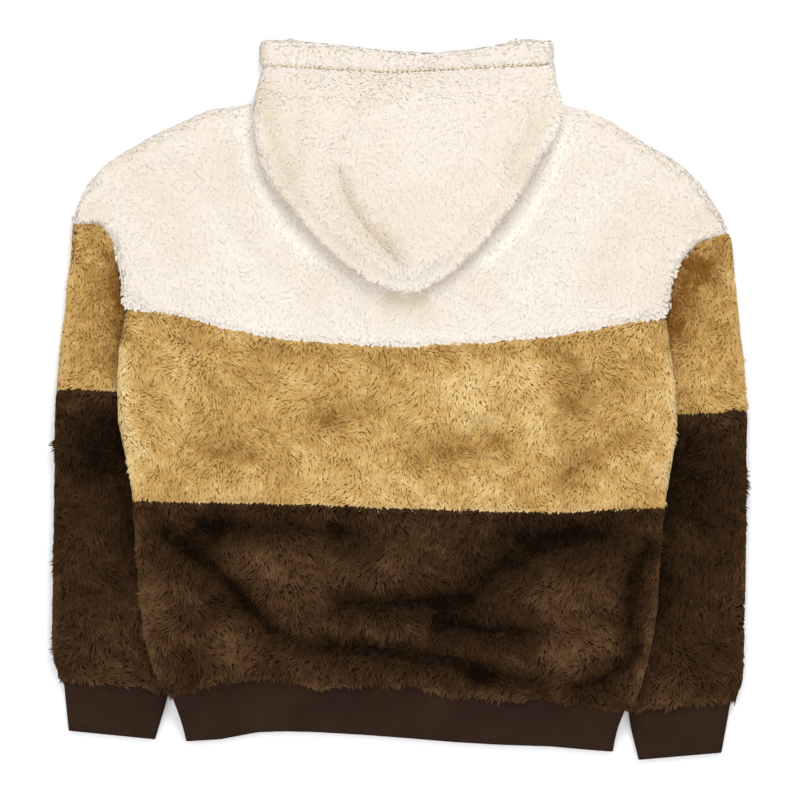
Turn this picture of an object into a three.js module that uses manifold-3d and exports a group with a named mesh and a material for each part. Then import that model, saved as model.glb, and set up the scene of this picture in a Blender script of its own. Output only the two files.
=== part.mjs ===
// A hooded sherpa fleece pullover, laid flat on its front, so that its back and the hood lie upwards.
// Millimetres. +Z is up from the surface it lies on, +Y points to the hood and +X to the right as seen.
// The cloth is cut as a cream yoke, a tan middle and a dark brown lower part, front and back, two
// sleeves in tan and brown, a hood of two halves with a casing along its opening, and brown ribbing.
import * as THREE from 'three';
import { mergeVertices } from 'three/addons/utils/BufferGeometryUtils.js';
import Module from 'manifold-3d';

// Driving dimensions
const PLY = 7.5; // one layer of fleece, from its backing to the tips of its pile
const AIR = 1.6; // between two layers of cloth that lie on each other
const RIB = 2.4; // the wall of the knitted ribbing
const SEAM_GAP = 0.4; // between two pieces at the seam that joins them
const CLEAR = 0.7; // between cloth and what it lies on
const LOFT = 5; // how far the back stands off the front between its creases
const YOKE_LOFT = 3; // the same for the yoke, which the hood weighs down
const SEAM_DIP = 2.2; // the pile rounds down by this much at a seam
const SEAM_ROUND = 7; // and over this width
const CASING = 8; // thickness of the folded casing round the hood's opening
const NECK_X = 4; // where the middle of the neck lies

const BEND = PLY + AIR / 2; // outer radius of a side fold of two fleece layers
const RIB_BEND = RIB + AIR / 2; // the same for ribbing
const STACK = 2 * BEND; // height of two fleece layers that lie on each other

// The side folds of the body, from the underarm down to the hem
const BODY_SIDES = [
  { y: 104, left: -305, right: 297 },
  { y: 85, left: -310, right: 299 },
  { y: 58, left: -315, right: 303 },
  { y: 31, left: -316, right: 307 },
  { y: 4, left: -317, right: 309 },
  { y: -22, left: -316, right: 311 },
  { y: -49, left: -311, right: 308 },
  { y: -76, left: -304, right: 304 },
  { y: -110, left: -300, right: 298 },
  { y: -150, left: -297, right: 293 },
  { y: -218, left: -292, right: 290 },
  { y: -259, left: -287, right: 285 },
  { y: -296, left: -278, right: 277 },
  { y: -318, left: -267, right: 271 },
  { y: -330, left: -260, right: 265 },
  { y: -348, left: -256, right: 259 },
];

// The seams across the body: yoke to middle, middle to lower part, lower part to hem, and the hem's edge
const BODY_SEAMS = [
  { x: -320, yoke: 104, middle: -109, rib: -330, hem: -384 },
  { x: -254, yoke: 97, middle: -112, rib: -328, hem: -384 },
  { x: -202, yoke: 83, middle: -113, rib: -315, hem: -381 },
  { x: -160, yoke: 74, middle: -114, rib: -309, hem: -373 },
  { x: -128, yoke: 69, middle: -115, rib: -311, hem: -372 },
  { x: -92, yoke: 66, middle: -116, rib: -322, hem: -373 },
  { x: -40, yoke: 62, middle: -118, rib: -316, hem: -376 },
  { x: 12, yoke: 61, middle: -120, rib: -318, hem: -380 },
  { x: 60, yoke: 63, middle: -121, rib: -328, hem: -384 },
  { x: 110, yoke: 66, middle: -123, rib: -334, hem: -387 },
  { x: 170, yoke: 72, middle: -124, rib: -335, hem: -389 },
  { x: 214, yoke: 79, middle: -122, rib: -341, hem: -393 },
  { x: 256, yoke: 87, middle: -120, rib: -347, hem: -396 },
  { x: 320, yoke: 95, middle: -117, rib: -348, hem: -396 },
];

// The side edges of the hem rib
const HEM_SIDES = [
  { y: -396, left: -238, right: 239 },
  { y: -383, left: -240, right: 241 },
  { y: -366, left: -244, right: 245 },
  { y: -350, left: -249, right: 251 },
  { y: -330, left: -256, right: 258 },
];

// The yoke: its lower edge is the armhole seam outside and the body seam inside, its upper edge the
// shoulder line and the back neck. The neck of the front is cut lower.
const YOKE = [
  { x: -366, low: 200, high: 205, neck: 205 },
  { x: -361, low: 199.5, high: 216, neck: 216 },
  { x: -354, low: 199, high: 233, neck: 233 },
  { x: -346, low: 198, high: 247, neck: 247 },
  { x: -334, low: 196, high: 260, neck: 260 },
  { x: -321, low: 181, high: 271, neck: 271 },
  { x: -311, low: 142, high: 277, neck: 277 },
  { x: -305, low: 104.3, high: 281, neck: 281 },
  { x: -273, low: 100, high: 300, neck: 300 },
  { x: -241, low: 94, high: 314, neck: 314 },
  { x: -214, low: 86, high: 326, neck: 326 },
  { x: -165, low: 75, high: 333, neck: 333 },
  { x: -108, low: 67, high: 336, neck: 335 },
  { x: -96, low: 66, high: 334, neck: 292 },
  { x: -62, low: 63, high: 327, neck: 258 },
  { x: -20, low: 61, high: 321, neck: 242 },
  { x: 28, low: 61, high: 321, neck: 242 },
  { x: 70, low: 63, high: 327, neck: 258 },
  { x: 104, low: 66, high: 334, neck: 292 },
  { x: 116, low: 67, high: 336, neck: 335 },
  { x: 165, low: 71, high: 334, neck: 334 },
  { x: 204, low: 78, high: 327, neck: 327 },
  { x: 234, low: 83, high: 314, neck: 314 },
  { x: 255, low: 86, high: 301, neck: 301 },
  { x: 277, low: 90, high: 287, neck: 287 },
  { x: 297, low: 95.3, high: 276, neck: 276 },
  { x: 302, low: 134, high: 273, neck: 273 },
  { x: 313, low: 157, high: 265, neck: 265 },
  { x: 334, low: 175, high: 246, neck: 246 },
  { x: 344, low: 179, high: 233, neck: 233 },
  { x: 352, low: 182, high: 219, neck: 219 },
  { x: 360, low: 185, high: 207, neck: 207 },
  { x: 366, low: 187, high: 192, neck: 192 },
];

// The sleeves, down from the armhole. y is taken at the inner edge, and the outer edge lies higher by
// slant for each millimetre across. Below the underarm the inner edge is tucked under the body.
const SLEEVE_LEFT = [
  { y: 195.5, outer: -368, inner: -335, slant: 0.13 },
  { y: 180, outer: -369, inner: -321.4, slant: 0.1 },
  { y: 160, outer: -370, inner: -316.3, slant: 0.08 },
  { y: 141, outer: -372, inner: -311.5, slant: 0.06 },
  { y: 120, outer: -375, inner: -308.4, slant: 0.05 },
  { y: 103, outer: -376, inner: -305.6, slant: 0.04 },
  { y: 80, outer: -379, inner: -281, slant: 0.03 },
  { y: 50, outer: -383, inner: -250, slant: 0.03 },
  { y: 20, outer: -385, inner: -228, slant: 0.03 },
  { y: -22, outer: -388, inner: -213, slant: 0.03 },
  { y: -76, outer: -388, inner: -214, slant: 0.03 },
  { y: -134, outer: -389, inner: -222, slant: 0.04 },
  { y: -224, outer: -390, inner: -238, slant: 0.08 },
  { y: -278, outer: -391, inner: -248, slant: 0.1 },
  { y: -306, outer: -389, inner: -254, slant: 0.118 },
  { y: -325, outer: -383, inner: -258, slant: 0.118 },
];
const SLEEVE_RIGHT = [
  { y: 176.2, outer: 370, inner: 338.8, slant: 0.37 },
  { y: 166, outer: 373, inner: 324.6, slant: 0.3 },
  { y: 155, outer: 374, inner: 313, slant: 0.22 },
  { y: 133, outer: 376, inner: 303, slant: 0.14 },
  { y: 115, outer: 378, inner: 300.6, slant: 0.1 },
  { y: 94, outer: 380, inner: 298.6, slant: 0.08 },
  { y: 72, outer: 382, inner: 274, slant: 0.06 },
  { y: 42, outer: 386, inner: 244, slant: 0.05 },
  { y: 12, outer: 388, inner: 222, slant: 0.05 },
  { y: -30, outer: 390, inner: 206, slant: 0.05 },
  { y: -90, outer: 389, inner: 213, slant: 0.05 },
  { y: -157, outer: 389, inner: 224, slant: 0.06 },
  { y: -224, outer: 388, inner: 236, slant: 0.08 },
  { y: -284, outer: 387, inner: 248, slant: 0.1 },
  { y: -327, outer: 385, inner: 254, slant: 0.105 },
  { y: -346, outer: 379, inner: 257, slant: 0.105 },
];
const SLEEVES = {
  left: { table: SLEEVE_LEFT, underarm: 103, seam: 9, end: -325 },
  right: { table: SLEEVE_RIGHT, underarm: 94, seam: -19, end: -346 },
};
const CUFF_LEFT = [
  { y: -325.5, outer: -378, inner: -259, slant: 0.118 },
  { y: -345, outer: -376, inner: -264, slant: 0.112 },
  { y: -381, outer: -372, inner: -275, slant: 0.1 },
];
const CUFF_RIGHT = [
  { y: -346.5, outer: 372, inner: 256, slant: 0.105 },
  { y: -368, outer: 368, inner: 259, slant: 0.095 },
  { y: -404, outer: 361, inner: 268, slant: 0.086 },
];

// How the body climbs over the inner edge of a sleeve: share of the climb at a distance past the edge
const CLIMB = [
  { past: -46, share: 0 },
  { past: -32, share: 0.12 },
  { past: -11, share: 0.8 },
  { past: 5, share: 1 },
];
const CLIMB_MARGIN = 3;

// The hood as a row of sections from its opening to its tip. Each runs from the centre seam out to the
// fold at the hood's left or right contour, round it, and back below. top and under are the heights of
// its upper and lower face, and reach is the share of the under layer that the section has.
const HOOD = [
  { seamX: -12, seamY: 366, leftX: -153, leftY: 375, rightX: 174, rightY: 376, top: 18, under: 0, reach: 0.2 },
  { seamX: -22, seamY: 354, leftX: -159, leftY: 356, rightX: 176, rightY: 356, top: 25, under: 0, reach: 0.2 },
  { seamX: -32, seamY: 345, leftX: -162, leftY: 345, rightX: 179, rightY: 345, top: 30, under: 0, reach: 0.2 },
  { seamX: -40, seamY: 338.5, leftX: -163, leftY: 338.5, rightX: 181, rightY: 338.5, top: 34, under: 10, reach: 0.2 },
  { seamX: -46, seamY: 331, leftX: -164, leftY: 331, rightX: 182, rightY: 331, top: 36, under: 20, reach: 1 },
  { seamX: -56, seamY: 312, leftX: -165, leftY: 312, rightX: 181, rightY: 314, top: 38, under: 20, reach: 1 },
  { seamX: -64, seamY: 290, leftX: -162, leftY: 288, rightX: 173, rightY: 291, top: 39, under: 20, reach: 1 },
  { seamX: -69, seamY: 266, leftX: -157, leftY: 264, rightX: 159, rightY: 269, top: 39, under: 20, reach: 1 },
  { seamX: -66, seamY: 242, leftX: -147, leftY: 243, rightX: 146, rightY: 246, top: 39, under: 20, reach: 1 },
  { seamX: -57, seamY: 220, leftX: -132, leftY: 224, rightX: 132, rightY: 224, top: 39, under: 20, reach: 1 },
  { seamX: -42, seamY: 199, leftX: -110, leftY: 199, rightX: 111, rightY: 197, top: 38, under: 20, reach: 1 },
  { seamX: -23, seamY: 178, leftX: -89, leftY: 177, rightX: 90, rightY: 172, top: 38, under: 20, reach: 1 },
  { seamX: -7, seamY: 160, leftX: -64, leftY: 153, rightX: 68, rightY: 150, top: 37.5, under: 20, reach: 1 },
  { seamX: 3, seamY: 144, leftX: -36, leftY: 134, rightX: 46, rightY: 133, top: 37, under: 20, reach: 1 },
  { seamX: 5, seamY: 134, leftX: -13, leftY: 123.5, rightX: 24, rightY: 123, top: 36.5, under: 20, reach: 1 },
  { seamX: 5, seamY: 128, leftX: 4.4, leftY: 118.5, rightX: 5.6, rightY: 118.5, top: 36, under: 20, reach: 1 },
];
const HOOD_PUFF = 7; // the upper layer stands this much higher half way between seam and fold

// The casing along the hood's opening: its upper edge, and the stitching that parts it from the hood
const OPENING = [
  { x: -147, edge: 403, stitch: 375 },
  { x: -123, edge: 404, stitch: 373.5 },
  { x: -78, edge: 399, stitch: 370.7 },
  { x: -41, edge: 395, stitch: 368.4 },
  { x: -6, edge: 391, stitch: 366.8 },
  { x: 34, edge: 389, stitch: 369 },
  { x: 80, edge: 393, stitch: 371.4 },
  { x: 113, edge: 399, stitch: 373.2 },
  { x: 140, edge: 403, stitch: 374.7 },
  { x: 164, edge: 403, stitch: 376 },
];
const CASING_TOP = 13.2; // height of the casing's middle on the upper side of the hood
const CASING_LOW = 4.1; // and on its lower side, where it runs down to the throat
const THROAT_Y = 253; // where the two ends of the casing meet at the front of the neck
const THROAT_TURN = 122; // how far from the middle of the neck the casing turns down to it, and where
const THROAT_TURN_Y = 394;

// The hood's flat piece on the lower side, from its fold to the throat, between the seam to the front
// neck and the casing. x is taken from the middle of the neck.
const THROAT = [
  { neckX: 156, neckY: 344, caseX: 136, caseY: 372 },
  { neckX: 136, neckY: 339.5, caseX: 114, caseY: 361 },
  { neckX: 113, neckY: 338.8, caseX: 108, caseY: 354 },
  { neckX: 108, neckY: 333, caseX: 100.5, caseY: 344 },
  { neckX: 98.5, neckY: 293, caseX: 72, caseY: 307 },
  { neckX: 64, neckY: 259.8, caseX: 50, caseY: 279 },
  { neckX: 27, neckY: 244.6, caseX: 27.5, caseY: 251 },
];

// Creases of the back as a curve through three points: depth is below the cloth around, and a ridge
// has a negative depth
const CREASES = [
  { x0: -292, y0: -131, x1: -192, y1: -196, x2: -130, y2: -278, width: 16, depth: 6 },
  { x0: -262, y0: -165, x1: -186, y1: -226, x2: -150, y2: -296, width: 15, depth: -3 },
  { x0: -100, y0: -210, x1: 1, y1: -232, x2: 104, y2: -210, width: 13, depth: 5 },
  { x0: -96, y0: -186, x1: 10, y1: -206, x2: 96, y2: -190, width: 14, depth: -3 },
  { x0: 46, y0: -243, x1: 90, y1: -252, x2: 134, y2: -255, width: 9, depth: 4 },
  { x0: 100, y0: -202, x1: 160, y1: -188, x2: 248, y2: -144, width: 12, depth: 5 },
  { x0: -125, y0: -262, x1: 34, y1: -279, x2: 168, y2: -314, width: 13, depth: 5 },
  { x0: 262, y0: -148, x1: 228, y1: -220, x2: 262, y2: -292, width: 12, depth: 6 },
  { x0: 278, y0: -170, x1: 262, y1: -230, x2: 282, y2: -290, width: 10, depth: -4 },
  { x0: 240, y0: -300, x1: 215, y1: -318, x2: 180, y2: -324, width: 11, depth: 4 },
  { x0: -256, y0: -36, x1: -207, y1: -58, x2: -145, y2: -72, width: 12, depth: 4 },
  { x0: -130, y0: -36, x1: -83, y1: -15, x2: -22, y2: -17, width: 12, depth: 4 },
  { x0: 8, y0: -70, x1: 68, y1: -48, x2: 140, y2: -46, width: 12, depth: 4.5 },
  { x0: 160, y0: -102, x1: 213, y1: -62, x2: 285, y2: -28, width: 12, depth: 4 },
  { x0: 180, y0: 60, x1: 199, y1: 17, x2: 203, y2: -26, width: 14, depth: 3 },
  { x0: -6, y0: -40, x1: 79, y1: -16, x2: 160, y2: 20, width: 12, depth: -3 },
  { x0: -318, y0: 246, x1: -248, y1: 218, x2: -206, y2: 120, width: 17, depth: 3 },
  { x0: 318, y0: 242, x1: 244, y1: 216, x2: 196, y2: 112, width: 17, depth: 3 },
  { x0: -279, y0: 284, x1: -200, y1: 200, x2: -134, y2: 112, width: 15, depth: 2.4 },
  { x0: 262, y0: 284, x1: 212, y1: 200, x2: 135, y2: 112, width: 15, depth: 2.4 },
];
const HOOD_CREASES = [
  { x0: -74, y0: 268, x1: -50, y1: 207, x2: 16, y2: 138, width: 11, depth: 5 },
  { x0: -128, y0: 364, x1: -118, y1: 314, x2: -125, y2: 262, width: 13, depth: 5 },
  { x0: 158, y0: 348, x1: 150, y1: 300, x2: 122, y2: 256, width: 12, depth: 6 },
];

// Shares of a panel's height at which its rows lie
const PANEL_ROWS = [0, 0.04, 0.16, 0.3, 0.44, 0.58, 0.72, 0.86, 0.96, 1];
const YOKE_SHARED_ROWS = [0, 0.035, 0.13, 0.24];
const YOKE_BACK_ROWS = [...YOKE_SHARED_ROWS, 0.37, 0.51, 0.65, 0.8, 0.93, 1];
const YOKE_FRONT_ROWS = [...YOKE_SHARED_ROWS, 0.6, 1];
const BACK_STEP = 29; // widest step between two columns of the back
const FRONT_STEP = 90; // and of the front
const SLEEVE_STEP = 36; // widest step between two rings of a sleeve
const FOLD_STEPS = 3; // steps in a quarter turn round a fold

const mix = (a, b, share) => a + (b - a) * share;
const clamp = (value, low, high) => Math.min(high, Math.max(low, value));
const smooth = (value) => {
  const t = clamp(value, 0, 1);
  return t * t * (3 - 2 * t);
};

// Value of one column of a table at a place along another column, on straight lines between its rows
function at(table, key, column, place) {
  const rising = table[0][key] < table[table.length - 1][key];
  let k = 0;
  while (k < table.length - 2 && (rising ? place > table[k + 1][key] : place < table[k + 1][key])) k += 1;
  const [a, b] = [table[k], table[k + 1]];
  return mix(a[column], b[column], clamp((place - a[key]) / (b[key] - a[key]), 0, 1));
}

// Depth of a set of creases at a point: a rounded trough on each side of the curve, faded at its ends
function creaseDepth(creases, x, y) {
  const steps = 10;
  let depth = 0;
  for (const c of creases) {
    let nearest = Infinity;
    let share = 0;
    for (let k = 0; k <= steps; k += 1) {
      const t = k / steps;
      const px = (1 - t) * (1 - t) * c.x0 + 2 * t * (1 - t) * (2 * c.x1 - (c.x0 + c.x2) / 2) + t * t * c.x2;
      const py = (1 - t) * (1 - t) * c.y0 + 2 * t * (1 - t) * (2 * c.y1 - (c.y0 + c.y2) / 2) + t * t * c.y2;
      const d = Math.hypot(x - px, y - py);
      if (d < nearest) [nearest, share] = [d, t];
    }
    depth += c.depth * Math.exp(-((nearest / c.width) ** 2)) * smooth(4 * share) * smooth(4 * (1 - share));
  }
  return depth;
}

// How far a sleeve lifts the body at a point
function lift(x, y) {
  const pastLeft = at(SLEEVE_LEFT, 'y', 'inner', y) + CLIMB_MARGIN - x;
  const pastRight = x - at(SLEEVE_RIGHT, 'y', 'inner', y) + CLIMB_MARGIN;
  const underarm = x < 0 ? (y - 103) * 1.25 : (y - 95) * 1.25;
  const past = Math.max(pastLeft, pastRight) - Math.max(0, underarm);
  const fade = clamp((y + 396) / 60, 0, 1);
  return (STACK + CLEAR) * fade * at(CLIMB, 'past', 'share', past);
}

// Height of the middle of the body's two layers at a point
const bodyMiddle = (x, y) => BEND + SEAM_GAP / 2 + lift(x, y);

// How far the back layer stands off the front layer at a point
function backLoft(x, y) {
  const loft = mix(LOFT, YOKE_LOFT, smooth((y - 40) / 60));
  const open = clamp(loft - creaseDepth(CREASES, x, y), 0, y > 110 ? YOKE_LOFT : 12);
  const hem = smooth((y + 352) / 60);
  return open * hem;
}

// A closed wall between an outer and an inner grid of points. A ring closes each row on itself.
function wall(outer, inner, ring = false) {
  const rows = outer.length;
  const across = outer[0].length;
  const points = [...outer.flat(), ...inner.flat()];
  const place = (layer, i, j) => (layer * rows + i) * across + (j % across);
  const faces = [];
  const quad = (a, b, c, d) => faces.push([a, b, c], [a, c, d]);
  const last = ring ? across : across - 1;
  for (let i = 0; i < rows - 1; i += 1) {
    for (let j = 0; j < last; j += 1) {
      quad(place(0, i, j), place(0, i + 1, j), place(0, i + 1, j + 1), place(0, i, j + 1));
      quad(place(1, i, j), place(1, i, j + 1), place(1, i + 1, j + 1), place(1, i + 1, j));
    }
  }
  for (let j = 0; j < last; j += 1) {
    quad(place(0, 0, j), place(0, 0, j + 1), place(1, 0, j + 1), place(1, 0, j));
    quad(place(0, rows - 1, j + 1), place(0, rows - 1, j), place(1, rows - 1, j), place(1, rows - 1, j + 1));
  }
  if (!ring) {
    for (let i = 0; i < rows - 1; i += 1) {
      quad(place(0, i + 1, 0), place(0, i, 0), place(1, i, 0), place(1, i + 1, 0));
      quad(place(0, i, across - 1), place(0, i + 1, across - 1), place(1, i + 1, across - 1), place(1, i, across - 1));
    }
  }
  return closedGeometry(points, faces);
}

// Geometry of a closed surface, turned so that its faces point out
function closedGeometry(points, faces) {
  let volume = 0;
  for (const [a, b, c] of faces) {
    const [p, q, r] = [points[a], points[b], points[c]];
    volume += p[0] * (q[1] * r[2] - q[2] * r[1]) + p[1] * (q[2] * r[0] - q[0] * r[2]) + p[2] * (q[0] * r[1] - q[1] * r[0]);
  }
  const turned = volume < 0 ? faces.map(([a, b, c]) => [a, c, b]) : faces;
  const geometry = new THREE.BufferGeometry();
  geometry.setAttribute('position', new THREE.Float32BufferAttribute(points.flat(), 3));
  geometry.setIndex(turned.flat());
  geometry.computeVertexNormals();
  return geometry;
}

// Columns of the body as functions of y: side folds, the climbs over the sleeves, and even steps between
function bodyColumns(y, step) {
  const left = at(BODY_SIDES, 'y', 'left', y) + BEND;
  const right = at(BODY_SIDES, 'y', 'right', y) - BEND;
  const tuckLeft = at(SLEEVE_LEFT, 'y', 'inner', y) + CLIMB_MARGIN;
  const tuckRight = at(SLEEVE_RIGHT, 'y', 'inner', y) - CLIMB_MARGIN;
  const knots = [left];
  [...CLIMB].reverse().forEach((c, k) => knots.push(Math.max(left + 6 * (k + 1), tuckLeft - c.past)));
  CLIMB.forEach((c, k) => knots.push(Math.min(right - 6 * (CLIMB.length - k), tuckRight + c.past)));
  knots.push(right);
  const widest = [32, 24, 24, 24, 348, 24, 24, 24, 32];
  const xs = [left];
  widest.forEach((width, k) => {
    const count = Math.max(1, Math.round(width / step));
    for (let i = 1; i <= count; i += 1) xs.push(mix(knots[k], knots[k + 1], i / count));
  });
  return xs;
}

// A seam across the body as a line of points, one at each column and one at each side fold
function seamLine(seam, step) {
  const seamY = (x) => at(BODY_SEAMS, 'x', seam, x);
  const start = bodyColumns(seamY(0), step);
  const line = start.map((guess, j) => {
    const y = seamY(guess);
    return { x: bodyColumns(y, step)[j], y };
  });
  const end = (guess, side) => {
    const x = at(BODY_SIDES, 'y', side, seamY(guess));
    return { x, y: seamY(x) };
  };
  return [end(-300, 'left'), ...line, end(300, 'right')];
}

// Back or front panel of the body between two of its seams. side is 1 for the back and -1 for the front.
function bodyPanel(upperSeam, lowerSeam, side, step) {
  const upper = seamLine(upperSeam, step);
  const lower = seamLine(lowerSeam, step);
  const count = upper.length - 2;
  const outer = [];
  const inner = [];
  for (const share of PANEL_ROWS) {
    const outerRow = [];
    const innerRow = [];
    const dip = share === 0 || share === 1 ? SEAM_DIP : 0;
    const put = (x, y, outerZ, innerZ, xInner = x) => {
      outerRow.push([x, y, outerZ]);
      innerRow.push([xInner, y, innerZ]);
    };
    const across = (high, low) => mix(high - SEAM_GAP / 2, low + SEAM_GAP / 2, share);
    const fold = (end, k) => {
      const last = end < 0 ? 0 : count + 1;
      const guess = across(upper[last].y, lower[last].y);
      const centre = at(BODY_SIDES, 'y', end < 0 ? 'left' : 'right', guess) - end * BEND;
      const turn = (k / FOLD_STEPS) * (Math.PI / 2);
      const [c, s] = [Math.cos(turn), Math.sin(turn)];
      const x = centre + end * BEND * c;
      const y = across(at(BODY_SEAMS, 'x', upperSeam, x), at(BODY_SEAMS, 'x', lowerSeam, x));
      const middle = bodyMiddle(centre, guess) + (side * SEAM_GAP) / 2;
      const bend = BEND - dip * s;
      put(x, y, middle + side * bend * s, middle + side * (AIR / 2) * s, centre + end * (AIR / 2) * c);
    };
    for (let k = 0; k < FOLD_STEPS; k += 1) fold(-1, k);
    for (let j = 0; j < count; j += 1) {
      const y = across(upper[j + 1].y, lower[j + 1].y);
      const columns = bodyColumns(y, step);
      const x = columns[j];
      const middle = bodyMiddle(x, y) + (side * SEAM_GAP) / 2;
      const fromSide = Math.min(x - columns[0], columns[count - 1] - x);
      const loft = side > 0 ? backLoft(x, y) * smooth(fromSide / 34) : 0;
      put(x, y, middle + side * (BEND - (side > 0 ? dip : 0) + loft), middle + side * (AIR / 2 + loft));
    }
    for (let k = FOLD_STEPS - 1; k >= 0; k -= 1) fold(1, k);
    outer.push(outerRow);
    inner.push(innerRow);
  }
  return wall(outer, inner);
}

// The yoke's columns run from its lower edge up to the shoulder line, and there half way round the fold.
// Its lower edge is the armhole seam outside the body's sides, and the body's own seam between them.
function yokePanel(side, rows, upperEdge, step) {
  const seam = seamLine('yoke', step);
  const [leftEnd, rightEnd] = [seam[0].x, seam[seam.length - 1].x];
  const outside = YOKE.filter((row) => row.x < leftEnd - 3 || row.x > rightEnd + 3).map((row) => row.x);
  const spare = side > 0 ? 11 : 3;
  const inside = YOKE.filter((row) => seam.every((knot) => Math.abs(knot.x - row.x) > spare)).map((row) => row.x);
  const xs = [...new Set([...outside, ...seam.map((knot) => knot.x), ...inside])].sort((a, b) => a - b);
  const [first, last] = [xs[0], xs[xs.length - 1]];
  const outer = [];
  const inner = [];
  for (const x of xs) {
    const onSeam = x >= leftEnd && x <= rightEnd;
    const low = (onSeam ? at(seam, 'x', 'y', x) : at(YOKE, 'x', 'low', x)) + SEAM_GAP / 2;
    const high = at(YOKE, 'x', upperEdge, x);
    const fromEnd = Math.min(x - first, last - x) + 2;
    const end = Math.sqrt(1 - (1 - Math.min(1, fromEnd / 16)) ** 2);
    const reach = Math.min(BEND, (high - low) * 0.6);
    const flat = high - reach;
    const outerRow = [];
    const innerRow = [];
    for (const share of rows) {
      const y = mix(low, flat, share);
      const middle = bodyMiddle(x, y) + (side * SEAM_GAP) / 2;
      const fade = smooth((flat - y) / 30) * smooth((fromEnd - 14) / 40);
      const loft = side > 0 ? backLoft(x, y) * fade : 0;
      const dip = share === 0 && side > 0 ? SEAM_DIP : 0;
      outerRow.push([x, y, middle + side * (BEND * end - dip * end + loft)]);
      innerRow.push([x, y, middle + side * ((AIR / 2) * end + loft)]);
    }
    for (let k = FOLD_STEPS - 1; k >= 0; k -= 1) {
      const turn = (k / FOLD_STEPS) * (Math.PI / 2);
      const middle = bodyMiddle(x, high) + (side * SEAM_GAP) / 2;
      const [c, s] = [Math.cos(turn), Math.sin(turn)];
      outerRow.push([x, flat + reach * c, middle + side * BEND * end * s]);
      innerRow.push([x, flat + reach * c * (AIR / 2 / BEND), middle + side * (AIR / 2) * end * s]);
    }
    outer.push(outerRow);
    inner.push(innerRow);
  }
  return wall(outer, inner);
}

// A flattened tube, such as a sleeve or a cuff: rings from a table of its two edges. ply is its wall,
// and the heights and the loft of its upper layer come from functions of the place.
function flatTube(table, stations, ply, shape) {
  const bend = ply + AIR / 2;
  const flats = 6;
  const outer = [];
  const inner = [];
  for (const y of stations) {
    const inside = at(table, 'y', 'inner', y);
    const outside = at(table, 'y', 'outer', y);
    const slant = at(table, 'y', 'slant', y);
    const way = Math.sign(outside - inside);
    const { middle, squeeze } = shape(y);
    const put = (row, x, z) => row.push([x, y + slant * Math.abs(x - inside), z]);
    const ring = (size) => {
      const row = [];
      for (let k = 0; k <= 2 * FOLD_STEPS; k += 1) {
        const turn = Math.PI / 2 - (k / FOLD_STEPS) * (Math.PI / 2);
        put(row, outside - way * bend + way * size * Math.cos(turn), middle + size * squeeze * Math.sin(turn));
      }
      for (let k = 1; k < flats; k += 1) {
        put(row, mix(outside - way * bend, inside + way * bend, k / flats), middle - size * squeeze);
      }
      for (let k = 0; k <= 2 * FOLD_STEPS; k += 1) {
        const turn = -Math.PI / 2 + (k / FOLD_STEPS) * (Math.PI / 2);
        put(row, inside + way * bend - way * size * Math.cos(turn), middle + size * squeeze * Math.sin(turn));
      }
      for (let k = flats - 1; k > 0; k -= 1) {
        put(row, mix(outside - way * bend, inside + way * bend, k / flats), middle + size * squeeze);
      }
      return row;
    };
    const [outerRing, innerRing] = [ring(bend), ring(AIR / 2)];
    outerRing.forEach((point, k) => {
      if (point[2] <= middle + 0.1) return;
      const loft = shape(y).loft(point[0], point[1], Math.min(Math.abs(point[0] - outside), Math.abs(point[0] - inside)));
      point[2] += loft;
      innerRing[k][2] += loft;
    });
    outer.push(outerRing);
    inner.push(innerRing);
  }
  return wall(outer, inner, true);
}

// Fleece sleeve between two places along it. What lies outside the body's side stands a little higher.
function sleeve(side, from, to) {
  const { table, underarm, end } = SLEEVES[side];
  const stations = [from];
  const cap = table.filter((row) => row.y < from && row.y > underarm).map((row) => row.y);
  stations.push(...cap);
  const knots = [from > underarm ? underarm : from - SEAM_ROUND, to + SEAM_ROUND];
  stations.push(knots[0]);
  for (let i = 1; i < knots.length; i += 1) {
    const count = Math.round((knots[i - 1] - knots[i]) / SLEEVE_STEP);
    for (let k = 1; k <= count; k += 1) stations.push(mix(knots[i - 1], knots[i], k / count));
  }
  stations.push(to);
  return flatTube(table, stations, PLY, (y) => {
    const gather = smooth((end + 22 - y) / 22);
    const squeeze = mix(y === from || y === to ? 0.82 : 1, 0.62, gather);
    return {
      middle: BEND * mix(1, 0.68, gather),
      squeeze,
      loft: (x, py, fromEdge) => {
        const bodySide = at(BODY_SIDES, 'y', side, Math.min(104, py));
        const shown = smooth((Math.abs(x) - Math.abs(bodySide) - 10) / 20);
        return 4 * shown * smooth(fromEdge / 22) * (1 - gather);
      },
    };
  });
}

function cuff(table) {
  const [from, to] = [table[0].y, table[table.length - 1].y];
  const stations = [0, 0.2, 0.6, 1].map((share) => mix(from, to, share));
  return flatTube(table, stations, RIB, () => ({ middle: RIB_BEND, squeeze: 1, loft: () => 0 }));
}

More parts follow.
